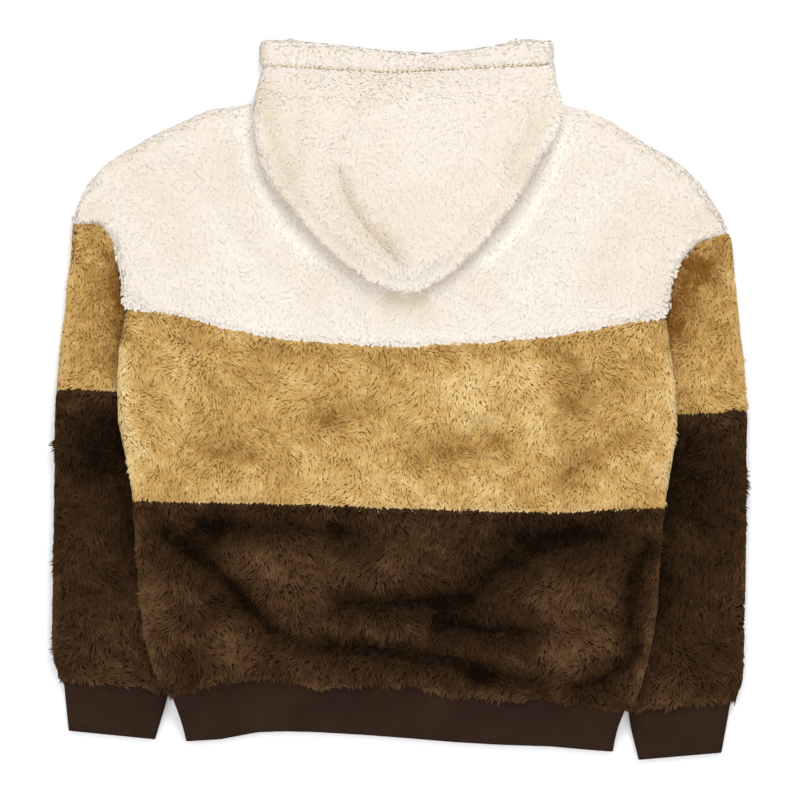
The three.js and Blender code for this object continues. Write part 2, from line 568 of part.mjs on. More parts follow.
// The hem rib: a closed band round both layers, lifted at its corners by the sleeves
function hemRib() {
  const outer = [];
  const inner = [];
  const knots = { upper: seamLine('rib', BACK_STEP), lower: seamLine('rib', FRONT_STEP) };
  for (const share of [0, 0.25, 0.6, 1]) {
    const yAt = (x, line) => mix(at(line, 'x', 'y', x) - SEAM_GAP, at(BODY_SEAMS, 'x', 'hem', x), share);
    const ring = (size) => {
      const row = [];
      const fold = (end, k) => {
        const y = yAt(end * 255, knots.upper);
        const edge = at(HEM_SIDES, 'y', end < 0 ? 'left' : 'right', y);
        const centre = edge - end * RIB_BEND;
        const turn = (k / FOLD_STEPS) * (Math.PI / 2);
        row.push([centre + end * size * Math.cos(turn), y, hemMiddle(centre, y, share) + size * Math.sin(turn)]);
      };
      const flats = (line, layer) => {
        const columns = line.slice(2, -2).map((knot) => {
          const across = (knot.x - line[1].x) / (line[line.length - 2].x - line[1].x);
          const left = at(HEM_SIDES, 'y', 'left', yAt(knot.x, line)) + RIB_BEND;
          const right = at(HEM_SIDES, 'y', 'right', yAt(knot.x, line)) - RIB_BEND;
          const x = mix(left, right, across);
          const y = yAt(x, line);
          return [x, y, hemMiddle(x, y, share) + layer * size];
        });
        row.push(...(layer > 0 ? columns : columns.reverse()));
      };
      for (let k = -FOLD_STEPS; k <= FOLD_STEPS; k += 1) fold(-1, k);
      flats(knots.upper, 1);
      for (let k = FOLD_STEPS; k >= -FOLD_STEPS; k -= 1) fold(1, k);
      flats(knots.lower, -1);
      return row;
    };
    outer.push(ring(RIB_BEND));
    inner.push(ring(AIR / 2));
  }
  return wall(outer, inner, true);
}
// Height of the middle of the hem rib: at the seam as high as the body's, at its free edge on the floor
const hemMiddle = (x, y, share) => {
  const fall = smooth(share / 0.6);
  return mix(BEND + SEAM_GAP / 2, RIB_BEND, fall) + lift(x, y) * mix(1, 0.8, fall);
};

// Half of the hood: side is -1 for the left half and 1 for the right
function hoodHalf(side) {
  const [keyX, keyY] = side < 0 ? ['leftX', 'leftY'] : ['rightX', 'rightY'];
  const [topSteps, turnSteps, underSteps] = [8, 4, 5];
  const outer = [];
  const inner = [];
  for (const row of HOOD) {
    const seam = [row.seamX + side * 0.2, row.seamY];
    const fold = [row[keyX], row[keyY]];
    const length = Math.hypot(seam[0] - fold[0], seam[1] - fold[1]);
    const inward = [(seam[0] - fold[0]) / length, (seam[1] - fold[1]) / length];
    const bend = Math.min(BEND, length * 0.9);
    const [middle, half] = [(row.top + row.under) / 2, (row.top - row.under) / 2];
    const size = Math.min(1, length / 80);
    const outerRow = [];
    const innerRow = [];
    const put = (fromFold, innerFromFold, outerZ, innerZ) => {
      outerRow.push([fold[0] + inward[0] * fromFold, fold[1] + inward[1] * fromFold, outerZ]);
      innerRow.push([fold[0] + inward[0] * innerFromFold, fold[1] + inward[1] * innerFromFold, innerZ]);
    };
    for (let k = 0; k <= topSteps; k += 1) {
      const along = mix(length, bend, k / topSteps);
      const [x, y] = [fold[0] + inward[0] * along, fold[1] + inward[1] * along];
      const crown = Math.sin(Math.PI * clamp((along - bend) / (2 * (length - bend)) + 0.1, 0, 1));
      const fade = smooth((along - bend) / 26) * smooth((374 - y) / 26);
      const puff = HOOD_PUFF * size * crown * fade - creaseDepth(HOOD_CREASES, x, y) * fade;
      const top = row.top + Math.max(puff, -2);
      put(along, along, top, top - PLY);
    }
    for (let k = 1; k < 2 * turnSteps; k += 1) {
      const turn = Math.PI / 2 - (k / turnSteps) * (Math.PI / 2);
      const [c, s] = [Math.cos(turn), Math.sin(turn)];
      put(bend - bend * c, bend - (AIR / 2) * c * (bend / BEND), middle + half * s, middle + (half - PLY) * s);
    }
    for (let k = 0; k <= underSteps; k += 1) {
      const along = mix(bend, mix(bend, length, row.reach), k / underSteps);
      put(along, along, row.under, row.under + PLY);
    }
    outer.push(outerRow);
    inner.push(innerRow);
  }
  return wall(outer, inner);
}

// The part of the hood that lies below, between the casing and the front neck, as a flat piece
function throatPiece(side) {
  const level = (z) => THROAT.map((row) => [
    [NECK_X + side * row.neckX, row.neckY, z],
    [NECK_X + side * row.caseX, row.caseY, z],
  ]);
  return wall(level(PLY), level(0));
}

// The casing: a folded strip along the opening, over the upper side, round both corners and down to
// the throat on the lower side
function casing() {
  const stations = [];
  const stripe = (x, y, z, across, half, normal) => stations.push({ x, y, z, across, half, normal });
  const radius = (CASING_TOP - CASING_LOW) / 2;
  const corner = (side) => {
    const end = side < 0 ? OPENING[0] : OPENING[OPENING.length - 1];
    const [y, half] = [(end.edge + end.stitch) / 2, (end.edge - end.stitch) / 2 - SEAM_GAP];
    const turns = [];
    for (let k = 1; k <= 5; k += 1) {
      const turn = Math.PI / 2 - (k / 6) * Math.PI;
      const [c, s] = [Math.cos(turn), Math.sin(turn)];
      turns.push([end.x + side * radius * c, y, CASING_LOW + radius + radius * s, [0, -1], half, [side * c, 0, s]]);
    }
    return turns;
  };
  const throat = (side) => {
    const start = [NECK_X + side * THROAT_TURN, THROAT_TURN_Y];
    const stop = [NECK_X + side * 12.5, THROAT_Y];
    const slope = Math.atan2(start[1] - stop[1], Math.abs(start[0] - stop[0]));
    const rows = [];
    for (const along of [0, 0.06, 0.14, 0.4, 0.7, 1]) {
      const turn = slope * smooth(along / 0.14);
      const across = [side * Math.sin(turn), -Math.cos(turn)];
      rows.push([mix(start[0], stop[0], along), mix(start[1], stop[1], along), CASING_LOW, across, 12.5, [0, 0, -1]]);
    }
    return rows;
  };
  throat(-1).reverse().forEach((row) => stripe(...row));
  corner(-1).reverse().forEach((row) => stripe(...row));
  for (const row of OPENING) {
    const half = (row.edge - row.stitch) / 2 - SEAM_GAP;
    stripe(row.x, (row.edge + row.stitch) / 2, CASING_TOP, [0, -1], half, [0, 0, 1]);
  }
  corner(1).forEach((row) => stripe(...row));
  throat(1).forEach((row) => stripe(...row));
  const section = [[-1, 0], [-0.86, 0.32], [-0.6, 0.5], [0.8, 0.5], [1, 0.3], [1, -0.3], [0.8, -0.5], [-0.6, -0.5], [-0.86, -0.32]];
  const rings = stations.map((s) => section.map(([a, b]) => [
    s.x + s.across[0] * a * s.half + s.normal[0] * b * CASING,
    s.y + s.across[1] * a * s.half + s.normal[1] * b * CASING,
    s.z + s.normal[2] * b * CASING,
  ]));
  const points = rings.flat();
  const faces = [];
  const n = section.length;
  for (let i = 0; i < rings.length - 1; i += 1) {
    for (let j = 0; j < n; j += 1) {
      const [a, b] = [i * n + j, i * n + ((j + 1) % n)];
      faces.push([a, b, b + n], [a, b + n, a + n]);
    }
  }
  for (let j = 1; j < n - 1; j += 1) {
    faces.push([0, j + 1, j]);
    faces.push([(rings.length - 1) * n, (rings.length - 1) * n + j, (rings.length - 1) * n + j + 1]);
  }
  return closedGeometry(points, faces);
}

// Solids for joining, and the way back to a geometry
const wasm = await Module();
wasm.setup();
function solidOf(geometry) {
  const plain = geometry.clone();
  plain.deleteAttribute('normal');
  plain.deleteAttribute('uv');
  const merged = mergeVertices(plain, 1e-3);
  const vertProperties = merged.attributes.position.array;
  return new wasm.Manifold(new wasm.Mesh({ numProp: 3, vertProperties, triVerts: new Uint32Array(merged.index.array) }));
}
function geometryOf(solid) {
  const { vertProperties, triVerts } = solid.getMesh();
  const geometry = new THREE.BufferGeometry();
  geometry.setAttribute('position', new THREE.BufferAttribute(new Float32Array(vertProperties), 3));
  geometry.setIndex(new THREE.BufferAttribute(new Uint32Array(triVerts), 1));
  geometry.computeVertexNormals();
  return geometry;
}
const joined = (...geometries) => geometryOf(geometries.map(solidOf).reduce((whole, piece) => whole.add(piece)));

const finish = (color, roughness) => new THREE.MeshStandardMaterial({ color, roughness, metalness: 0 });
const creamFleece = finish(0xf7efdf, 0.95);
const tanFleece = finish(0xc59a58, 0.95);
const brownFleece = finish(0x45301f, 0.95);
const brownRib = finish(0x37241c, 0.9);

const pullover = new THREE.Group();
pullover.name = 'pullover';
function add(name, geometry, material) {
  const mesh = new THREE.Mesh(geometry, material);
  mesh.name = name;
  pullover.add(mesh);
}

add('front_yoke', yokePanel(-1, YOKE_FRONT_ROWS, 'neck', FRONT_STEP), creamFleece);
add('front_middle', bodyPanel('yoke', 'middle', -1, FRONT_STEP), tanFleece);
add('front_lower', bodyPanel('middle', 'rib', -1, FRONT_STEP), brownFleece);
add('back_yoke', yokePanel(1, YOKE_BACK_ROWS, 'high', BACK_STEP), creamFleece);
add('back_middle', bodyPanel('yoke', 'middle', 1, BACK_STEP), tanFleece);
add('back_lower', bodyPanel('middle', 'rib', 1, BACK_STEP), brownFleece);
add('hem_rib', hemRib(), brownRib);
for (const side of ['left', 'right']) {
  const { table, seam, end } = SLEEVES[side];
  add(`sleeve_upper_${side}`, sleeve(side, table[0].y, seam + SEAM_GAP / 2), tanFleece);
  add(`sleeve_lower_${side}`, sleeve(side, seam - SEAM_GAP / 2, end), brownFleece);
}
add('cuff_left', cuff(CUFF_LEFT), brownRib);
add('cuff_right', cuff(CUFF_RIGHT), brownRib);
add('hood_left', joined(hoodHalf(-1), throatPiece(-1)), creamFleece);
add('hood_right', joined(hoodHalf(1), throatPiece(1)), creamFleece);
add('hood_casing', casing(), creamFleece);

// The part's origin is the middle of its outline, on the floor
const outline = new THREE.Box3().setFromObject(pullover);
const centre = outline.getCenter(new THREE.Vector3());
pullover.position.set(-centre.x, -centre.y, -outline.min.z);

export default pullover;
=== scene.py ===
"""A hooded sherpa fleece pullover that lies flat with its back up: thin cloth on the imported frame's form,
pile in locks on what shows of it, and knitted ribbing. Lengths are in millimetres until a mesh is made.
"""

import bpy
import numpy as np
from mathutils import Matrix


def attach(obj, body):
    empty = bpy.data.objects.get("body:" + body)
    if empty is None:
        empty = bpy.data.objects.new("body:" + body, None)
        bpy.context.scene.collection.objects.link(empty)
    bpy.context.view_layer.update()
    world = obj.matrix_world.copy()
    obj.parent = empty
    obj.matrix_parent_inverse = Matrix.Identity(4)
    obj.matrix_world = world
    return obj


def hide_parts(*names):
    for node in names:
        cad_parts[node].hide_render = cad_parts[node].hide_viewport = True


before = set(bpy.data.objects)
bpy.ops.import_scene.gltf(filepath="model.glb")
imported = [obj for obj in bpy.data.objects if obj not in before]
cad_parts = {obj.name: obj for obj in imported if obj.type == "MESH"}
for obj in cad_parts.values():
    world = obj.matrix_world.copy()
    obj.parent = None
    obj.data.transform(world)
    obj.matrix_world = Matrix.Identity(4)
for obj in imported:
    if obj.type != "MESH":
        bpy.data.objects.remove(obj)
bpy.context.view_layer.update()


# The camera hangs high above the pullover and looks straight down, as the photograph does. The middle
# of the view is the middle of the garment's own pattern, which lies a little off the frame's origin.
pattern_middle = np.array([0.431, -1.25, 0.0])
camera_height = 6.0
view_width = 0.896
camera = bpy.data.objects.new("camera", bpy.data.cameras.new("camera"))
camera.location = (pattern_middle[0] / 1000, pattern_middle[1] / 1000, camera_height)
camera.data.sensor_width = 36
camera.data.lens = 36 * (camera_height - 0.02) / view_width
camera.data.clip_end = 60
bpy.context.scene.collection.objects.link(camera)
bpy.context.scene.camera = camera
bpy.context.scene.view_settings.view_transform = "Standard"


# The studio: a plain white floor and soft light from large panels. The main panel stands beyond the
# hood, so that the folds and the hood's edge throw their soft shade towards the hem.
def new_mesh(name, vertices, *faces):
    """A mesh object from points in metres and arrays of corner numbers, one row for each face."""
    mesh = bpy.data.meshes.new(name)
    corners = np.concatenate([kind.ravel() for kind in faces])
    counts = np.concatenate([np.full(len(kind), kind.shape[1]) for kind in faces])
    mesh.vertices.add(len(vertices))
    mesh.vertices.foreach_set("co", np.asarray(vertices, np.float32).ravel())
    mesh.loops.add(len(corners))
    mesh.loops.foreach_set("vertex_index", corners.astype(np.int32))
    mesh.polygons.add(len(counts))
    starts = np.concatenate([[0], np.cumsum(counts)[:-1]])
    mesh.polygons.foreach_set("loop_start", starts.astype(np.int32))
    mesh.polygons.foreach_set("use_smooth", np.ones(len(counts), bool))
    mesh.update(calc_edges=True)
    made = bpy.data.objects.new(name, mesh)
    bpy.context.scene.collection.objects.link(made)
    return made


class Value:
    """A socket in a node tree. The operators + - * add Math nodes, also with a plain number on one side."""

    def __init__(self, tree, socket):
        self.tree = tree
        self.socket = socket

    def node(self, kind, settings=None, **inputs):
        """Adds a node and makes its settings, then fills its sockets by name, or by number as n0 or n1."""
        added = self.tree.nodes.new(kind)
        for key, setting in (settings or {}).items():
            if key == "stops":
                ramp = added.color_ramp
                while len(ramp.elements) < len(setting):
                    ramp.elements.new(0.5)
                for element, (place, colour) in zip(ramp.elements, setting):
                    element.position = place
                    element.color = (*colour, 1)
            else:
                setattr(added, key, setting)
        for key, value in inputs.items():
            by_number = key[0] == "n" and key[1:].isdigit()
            plug = added.inputs[int(key[1:]) if by_number else key.replace("_", " ")]
            if isinstance(value, Value):
                self.tree.links.new(value.socket, plug)
            else:
                plug.default_value = value
        return added

    def made(self, output, kind, settings=None, **inputs):
        """Adds a node and gives one of its outputs, by name or number."""
        return Value(self.tree, self.node(kind, settings, **inputs).outputs[output])

    def math(self, operation, a, b=0.0, clamp=False):
        """One Math node: a, then the operation, then b."""
        return self.made(0, "ShaderNodeMath", {"operation": operation, "use_clamp": clamp}, n0=a, n1=b)

    def __add__(self, other):
        return self.math("ADD", self, other)

    def __radd__(self, other):
        return self.math("ADD", other, self)

    def __sub__(self, other):
        return self.math("SUBTRACT", self, other)

    def __rsub__(self, other):
        return self.math("SUBTRACT", other, self)

    def __mul__(self, other):
        return self.math("MULTIPLY", self, other)

    def __rmul__(self, other):
        return self.math("MULTIPLY", other, self)

    def held(self):
        """The value held between 0 and 1."""
        return self.math("ADD", self, 0.0, clamp=True)


def finish(name, roughness, **constants):
    """A new material, its Principled shader with those constants, and a Value to add nodes with."""
    material = bpy.data.materials.new(name)
    material.use_nodes = True
    shader = material.node_tree.nodes["Principled BSDF"]
    shader.inputs["Roughness"].default_value = roughness
    for key, value in constants.items():
        shader.inputs[key.replace("_", " ")].default_value = value
    return material, shader, Value(material.node_tree, None)


def linear(red, green, blue):
    """A colour of 0 to 255 as a screen shows it, as the linear colour that a shader takes."""
    share = np.array([red, green, blue]) / 255
    return tuple(np.where(share < 0.04045, share / 12.92, ((share + 0.055) / 1.055) ** 2.4))


floor_edge = 9.0
floor = new_mesh(
    "floor",
    np.array([[-1, -1, 0], [1, -1, 0], [1, 1, 0], [-1, 1, 0]]) * floor_edge - [0, 0, 0.0006],
    np.array([[0, 1, 2, 3]]),
)
floor.data.materials.append(finish("studio_floor", 0.9, Base_Color=(0.93, 0.95, 0.99, 1))[0])


def soft_panel(name, place, size, power):
    """A square light panel that faces the middle of the floor."""
    lamp = bpy.data.lights.new(name, "AREA")
    lamp.size = size
    lamp.energy = power
    panel = bpy.data.objects.new(name, lamp)
    panel.location = place
    panel.rotation_euler = (-panel.location).to_track_quat("-Z", "Y").to_euler()
    bpy.context.scene.collection.objects.link(panel)


soft_panel("panel_beyond_hood", (0.45, 2.4, 2.0), 1.7, 53)
soft_panel("panel_left", (-2.4, -0.2, 2.0), 1.6, 23)
soft_panel("panel_right", (2.4, -0.6, 2.2), 1.8, 22)
soft_panel("panel_before_hem", (-0.2, -2.4, 2.2), 1.8, 29)
world = bpy.data.worlds.new("studio")
world.use_nodes = True
world.node_tree.nodes["Background"].inputs["Color"].default_value = (1.0, 0.965, 0.91, 1)
world.node_tree.nodes["Background"].inputs["Strength"].default_value = 0.66
bpy.context.scene.world = world


# The middle of the body, back and front: two straight panels of tan sherpa, joined at the sides where
# they fold round. The cloth is a thin backing, and its pile stands in locks that lie down in the nap.
PLY = 7.5  # from the inner face of the backing to the tips of the pile
AIR = 1.6  # between two layers that lie on each other
SEAM_GAP = 0.4
BEND = PLY + AIR / 2  # outer radius of a side fold
STACK = 2 * BEND  # two layers with air between them, as a sleeve has
SEAM_DIP = 2.2  # how far the pile sinks into a seam, over 8 mm


def smooth(value):
    """3t² - 2t³ of the value held between 0 and 1."""
    t = np.clip(value, 0, 1)
    return t * t * (3 - 2 * t)


def mix(a, b, share):
    """That share of the way from a to b."""
    return a + (b - a) * share


def curve(places, values, soften=14.0):
    """Straight lines through the points (place, value), with their corners rounded by a running mean."""
    order = np.argsort(places)
    places, values = np.asarray(places, float)[order], np.asarray(values, float)[order]
    fine = np.linspace(places[0], places[-1], 1200)
    level = np.interp(fine, places, values)
    reach = max(1, int(soften / (fine[1] - fine[0]) / 2))
    before = 2 * level[0] - level[reach:0:-1]
    after = 2 * level[-1] - level[-2 : -reach - 2 : -1]
    weights = np.hanning(2 * reach + 3)[1:-1]
    rounded = np.convolve(np.concatenate([before, level, after]), weights / weights.sum(), "valid")
    return lambda place: np.interp(place, fine, rounded)


# y, left fold, right fold of the body
body_sides = np.array([
    (104, -305, 297), (85, -310, 299), (58, -315, 303), (31, -316, 307), (4, -317, 309), (-22, -316, 311),
    (-49, -311, 308), (-76, -304, 304), (-110, -300, 298), (-150, -297, 293), (-218, -292, 290),
    (-259, -287, 285), (-296, -278, 277), (-318, -267, 271), (-330, -260, 265), (-348, -256, 259),
])
side_left = curve(body_sides[:, 0], body_sides[:, 1])
side_right = curve(body_sides[:, 0], body_sides[:, 2])
# x, then y of the seams under the yoke, under the middle and over the rib, and of the hem's edge
body_seams = np.array([
    (-320, 104, -109, -330, -384), (-254, 97, -112, -328, -384), (-202, 83, -113, -315, -381),
    (-160, 74, -114, -309, -373), (-128, 69, -115, -311, -372), (-92, 66, -116, -322, -373),
    (-40, 62, -118, -316, -376), (12, 61, -120, -318, -380), (60, 63, -121, -328, -384),
    (110, 66, -123, -334, -387), (170, 72, -124, -335, -389), (214, 79, -122, -341, -393),
    (256, 87, -120, -347, -396), (320, 95, -117, -348, -396),
])
seam = {
    key: curve(body_seams[:, 0], body_seams[:, column])
    for column, key in enumerate(("yoke", "middle", "rib", "hem"), start=1)
}
# y at the inner edge, outer edge, inner edge and slant of each sleeve
sleeve_left = np.array([
    (195.5, -368, -335, 0.13), (180, -369, -321.4, 0.1), (160, -370, -316.3, 0.08),
    (141, -372, -311.5, 0.06), (120, -375, -308.4, 0.05), (103, -376, -305.6, 0.04),
    (80, -379, -281, 0.03), (50, -383, -250, 0.03),
    (20, -385, -228, 0.03), (-22, -388, -213, 0.03), (-76, -388, -214, 0.03), (-134, -389, -222, 0.04),
    (-224, -390, -238, 0.08), (-278, -391, -248, 0.1), (-306, -389, -254, 0.118), (-325, -383, -258, 0.118),
])
sleeve_right = np.array([
    (176.2, 370, 338.8, 0.37), (166, 373, 324.6, 0.3), (155, 374, 313, 0.22), (133, 376, 303, 0.14),
    (115, 378, 300.6, 0.1), (94, 380, 298.6, 0.08), (72, 382, 274, 0.06), (42, 386, 244, 0.05),
    (12, 388, 222, 0.05), (-30, 390, 206, 0.05), (-90, 389, 213, 0.05), (-157, 389, 224, 0.06),
    (-224, 388, 236, 0.08), (-284, 387, 248, 0.1), (-327, 385, 254, 0.105), (-346, 379, 257, 0.105),
])
tuck_left = curve(sleeve_left[:, 0], sleeve_left[:, 2])
tuck_right = curve(sleeve_right[:, 0], sleeve_right[:, 2])
climb = curve([-46, -32, -11, 5], [0, 0.12, 0.8, 1], soften=12)


def lift(x, y):
    """How far a sleeve holds the body up: from 0 to a sleeve's height over the climb at its inner edge."""
    past = np.maximum(tuck_left(y) + 3 - x, x - tuck_right(y) + 3)
    past = past - np.maximum(0, np.where(x < 0, y - 103, y - 95) * 1.25)
    return (STACK + 0.7) * np.clip((y + 396) / 60, 0, 1) * climb(past)


def crease_depth(creases, x, y, halo=0.0):
    """Sum over the creases of depth times exp(-(distance / width)²), faded towards both ends.

    Each crease is a curve through three points, taken as sixteen straight lines. The halo is the share of
    the depth that spreads 2.6 times as wide."""
    total = np.zeros(np.shape(x))
    t = np.linspace(0, 1, 17)
    for x0, y0, x1, y1, x2, y2, width, depth in creases:
        along_x = (1 - t) ** 2 * x0 + 2 * t * (1 - t) * (2 * x1 - (x0 + x2) / 2) + t**2 * x2
        along_y = (1 - t) ** 2 * y0 + 2 * t * (1 - t) * (2 * y1 - (y0 + y2) / 2) + t**2 * y2
        step_x, step_y = np.diff(along_x), np.diff(along_y)
        from_x, from_y = x[..., None] - along_x[:-1], y[..., None] - along_y[:-1]
        part = np.clip((from_x * step_x + from_y * step_y) / (step_x**2 + step_y**2), 0, 1)
        distance = np.hypot(from_x - part * step_x, from_y - part * step_y)
        near = distance.argmin(-1)[..., None]
        share = (near[..., 0] + np.take_along_axis(part, near, -1)[..., 0]) / 16
        fade = smooth(6 * share) * smooth(6 * (1 - share))
        off = (distance.min(-1) / width) ** 2
        total += depth * fade * ((1 - halo) * np.exp(-off) + halo * np.exp(-off / 6.8))
    return total


# Creases of the back as curves through three points: x, y three times, then width and depth
body_creases = [
    (-290, -133, -202, -196, -131, -280, 14, 6), (-270, -165, -190, -228, -150, -296, 15, -3),
    (-90, -226, 10, -226, 94, -210, 12, 5.5), (-96, -190, 10, -206, 96, -190, 14, -3),
    (46, -249, 90, -254, 138, -257, 9, 4.5), (88, -208, 150, -170, 250, -141, 13, 5),
    (-128, -276, 40, -288, 168, -314, 12, 5.5), (282, -152, 258, -212, 262, -264, 12, 5.5),
    (284, -190, 276, -240, 274, -290, 9, -3), (250, -290, 220, -314, 186, -324, 10, 4),
    (-256, -36, -207, -58, -145, -72, 12, 4), (-130, -36, -83, -15, -22, -17, 12, 4),
    (8, -70, 68, -48, 140, -46, 12, 4.5), (160, -102, 213, -62, 285, -28, 12, 4),
    (180, 60, 199, 17, 203, -26, 14, 3), (-6, -40, 79, -16, 160, 20, 12, -3),
    (-318, 246, -248, 218, -206, 120, 17, 3), (318, 242, 244, 216, 196, 112, 17, 3),
    (-279, 284, -200, 200, -134, 112, 15, 2.4), (262, 284, 212, 200, 135, 112, 15, 2.4),
]
FOLD = 1.35  # the pile rounds a crease off, so the cloth has it deeper than it shows


def back_loft(x, y):
    """How far the back stands off the front: 6 mm, or 3 mm in the yoke, less the depth of the creases."""
    loft = mix(6, 3, smooth((y - 40) / 60)) - FOLD * crease_depth(body_creases, x, y)
    return np.clip(loft, 0, mix(14, 5, smooth((y - 90) / 40))) * smooth((y + 352) / 60)


def body_panel(upper, lower, side):
    """A panel as a function of u across, from side fold to side fold, and v down from seam to seam.

    The side folds are quarter circles, and the height between is the lift of the sleeves and the loft.
    Like every surface here it gives points of the outer and the inner face, and where pile is pressed."""

    def surface(u, v):
        quarter = BEND * np.pi / 2
        y = mix(seam[upper](0 * u), seam[lower](0 * u), v)
        for _ in range(4):
            left, right = side_left(y) + BEND, side_right(y) - BEND
            place = u * (right - left + 2 * quarter) - quarter
            turn_left = np.clip(-place / quarter, 0, 1) * np.pi / 2
            turn_right = np.clip((place - (right - left)) / quarter, 0, 1) * np.pi / 2
            turn = np.maximum(turn_left, turn_right)
            way = np.where(turn_right > 0, 1, -1)
            centre = np.clip(left + place, left, right)
            x = centre + way * BEND * np.sin(turn)
            top, low = seam[upper](x) - SEAM_GAP / 2, seam[lower](x) + SEAM_GAP / 2
            y = mix(top, low, v)
        flat = np.cos(turn)
        middle = BEND + SEAM_GAP / 2 + lift(centre, y) + side * SEAM_GAP / 2
        dip = SEAM_DIP * (1 - smooth(np.minimum(v, 1 - v) * (top - low) / 8)) if side > 0 else 0
        loft = 0 * u
        if side > 0:
            loft = back_loft(centre, y) * smooth(np.minimum(centre - left, right - centre) / 34)
        outer = np.stack([x, y, middle + side * ((BEND - dip) * flat + loft)], -1)
        inner_x = centre + way * AIR / 2 * np.sin(turn)
        inner = np.stack([inner_x, y, middle + side * (AIR / 2 * flat + loft)], -1)
        pressed = smooth(flat * 2 - 0.4) if side < 0 else 0 * u
        return outer, inner, pressed

    return surface


def cloth(name, surface, across, down, backing, ring=False, gathered=False):
    """The backing cloth as a closed wall on a grid, which takes that share of the ply. Where the pile is
    pressed flat the wall has the whole ply.

    A gathered grid has its columns closer together at both ends, where a panel folds round."""
    place = np.linspace(0, 1, across)
    if gathered:
        place = mix(place, 0.5 - 0.5 * np.cos(np.pi * place), 0.9)
    u, v = np.meshgrid(place, np.linspace(0, 1, down), indexing="ij")
    if ring:
        u, v = u[:-1], v[:-1]
    outer, inner, pressed = surface(u, v)
    outer = mix(inner, outer, mix(backing, 1, pressed)[..., None])
    n, m = outer.shape[:2]
    number = np.arange(2 * n * m).reshape(2, n, m)
    wrap = np.concatenate([number, number[:, :1]], 1) if ring else number

    def cells(grid):
        """The four corners of each cell of a grid of corner numbers."""
        return np.stack([grid[:-1, :-1], grid[1:, :-1], grid[1:, 1:], grid[:-1, 1:]], -1).reshape(-1, 4)

    def strip(a, b):
        """The faces between two rows of corner numbers."""
        return np.stack([a[:-1], b[:-1], b[1:], a[1:]], -1)

    faces = [cells(wrap[0]), cells(wrap[1])[:, ::-1]]
    faces += [strip(wrap[0, :, 0], wrap[1, :, 0])[:, ::-1], strip(wrap[0, :, -1], wrap[1, :, -1])]
    if not ring:
        faces += [strip(wrap[0, 0], wrap[1, 0]), strip(wrap[0, -1], wrap[1, -1])[:, ::-1]]
    faces = np.concatenate(faces)
    points = np.concatenate([outer.reshape(-1, 3), inner.reshape(-1, 3)])
    a, b, c, d = (points[faces[:, k]] for k in range(4))
    volume = np.einsum("ij,ij->", np.cross(a, b), c) + np.einsum("ij,ij->", np.cross(a, c), d)
    if volume < 0:
        faces = faces[:, ::-1]
    return new_mesh(name, (points + pattern_middle) / 1000, faces)


def ripple(x, y, length, seed):
    """Smooth uneven waves of about that length, mostly from -1 to 1: seven sines in set directions."""
    rng = np.random.default_rng(seed)
    total = np.zeros(np.shape(x))
    for angle, scale, phase in rng.random((7, 3)):
        wave = 2 * np.pi / (length * (0.7 + 0.8 * scale))
        total += np.sin(wave * (x * np.cos(angle * np.pi) + y * np.sin(angle * np.pi)) + phase * 2 * np.pi)
    return total / 3.2


def unit(vectors):
    """Each vector divided by its own length."""
    return vectors / np.maximum(np.linalg.norm(vectors, axis=-1, keepdims=True), 1e-9)


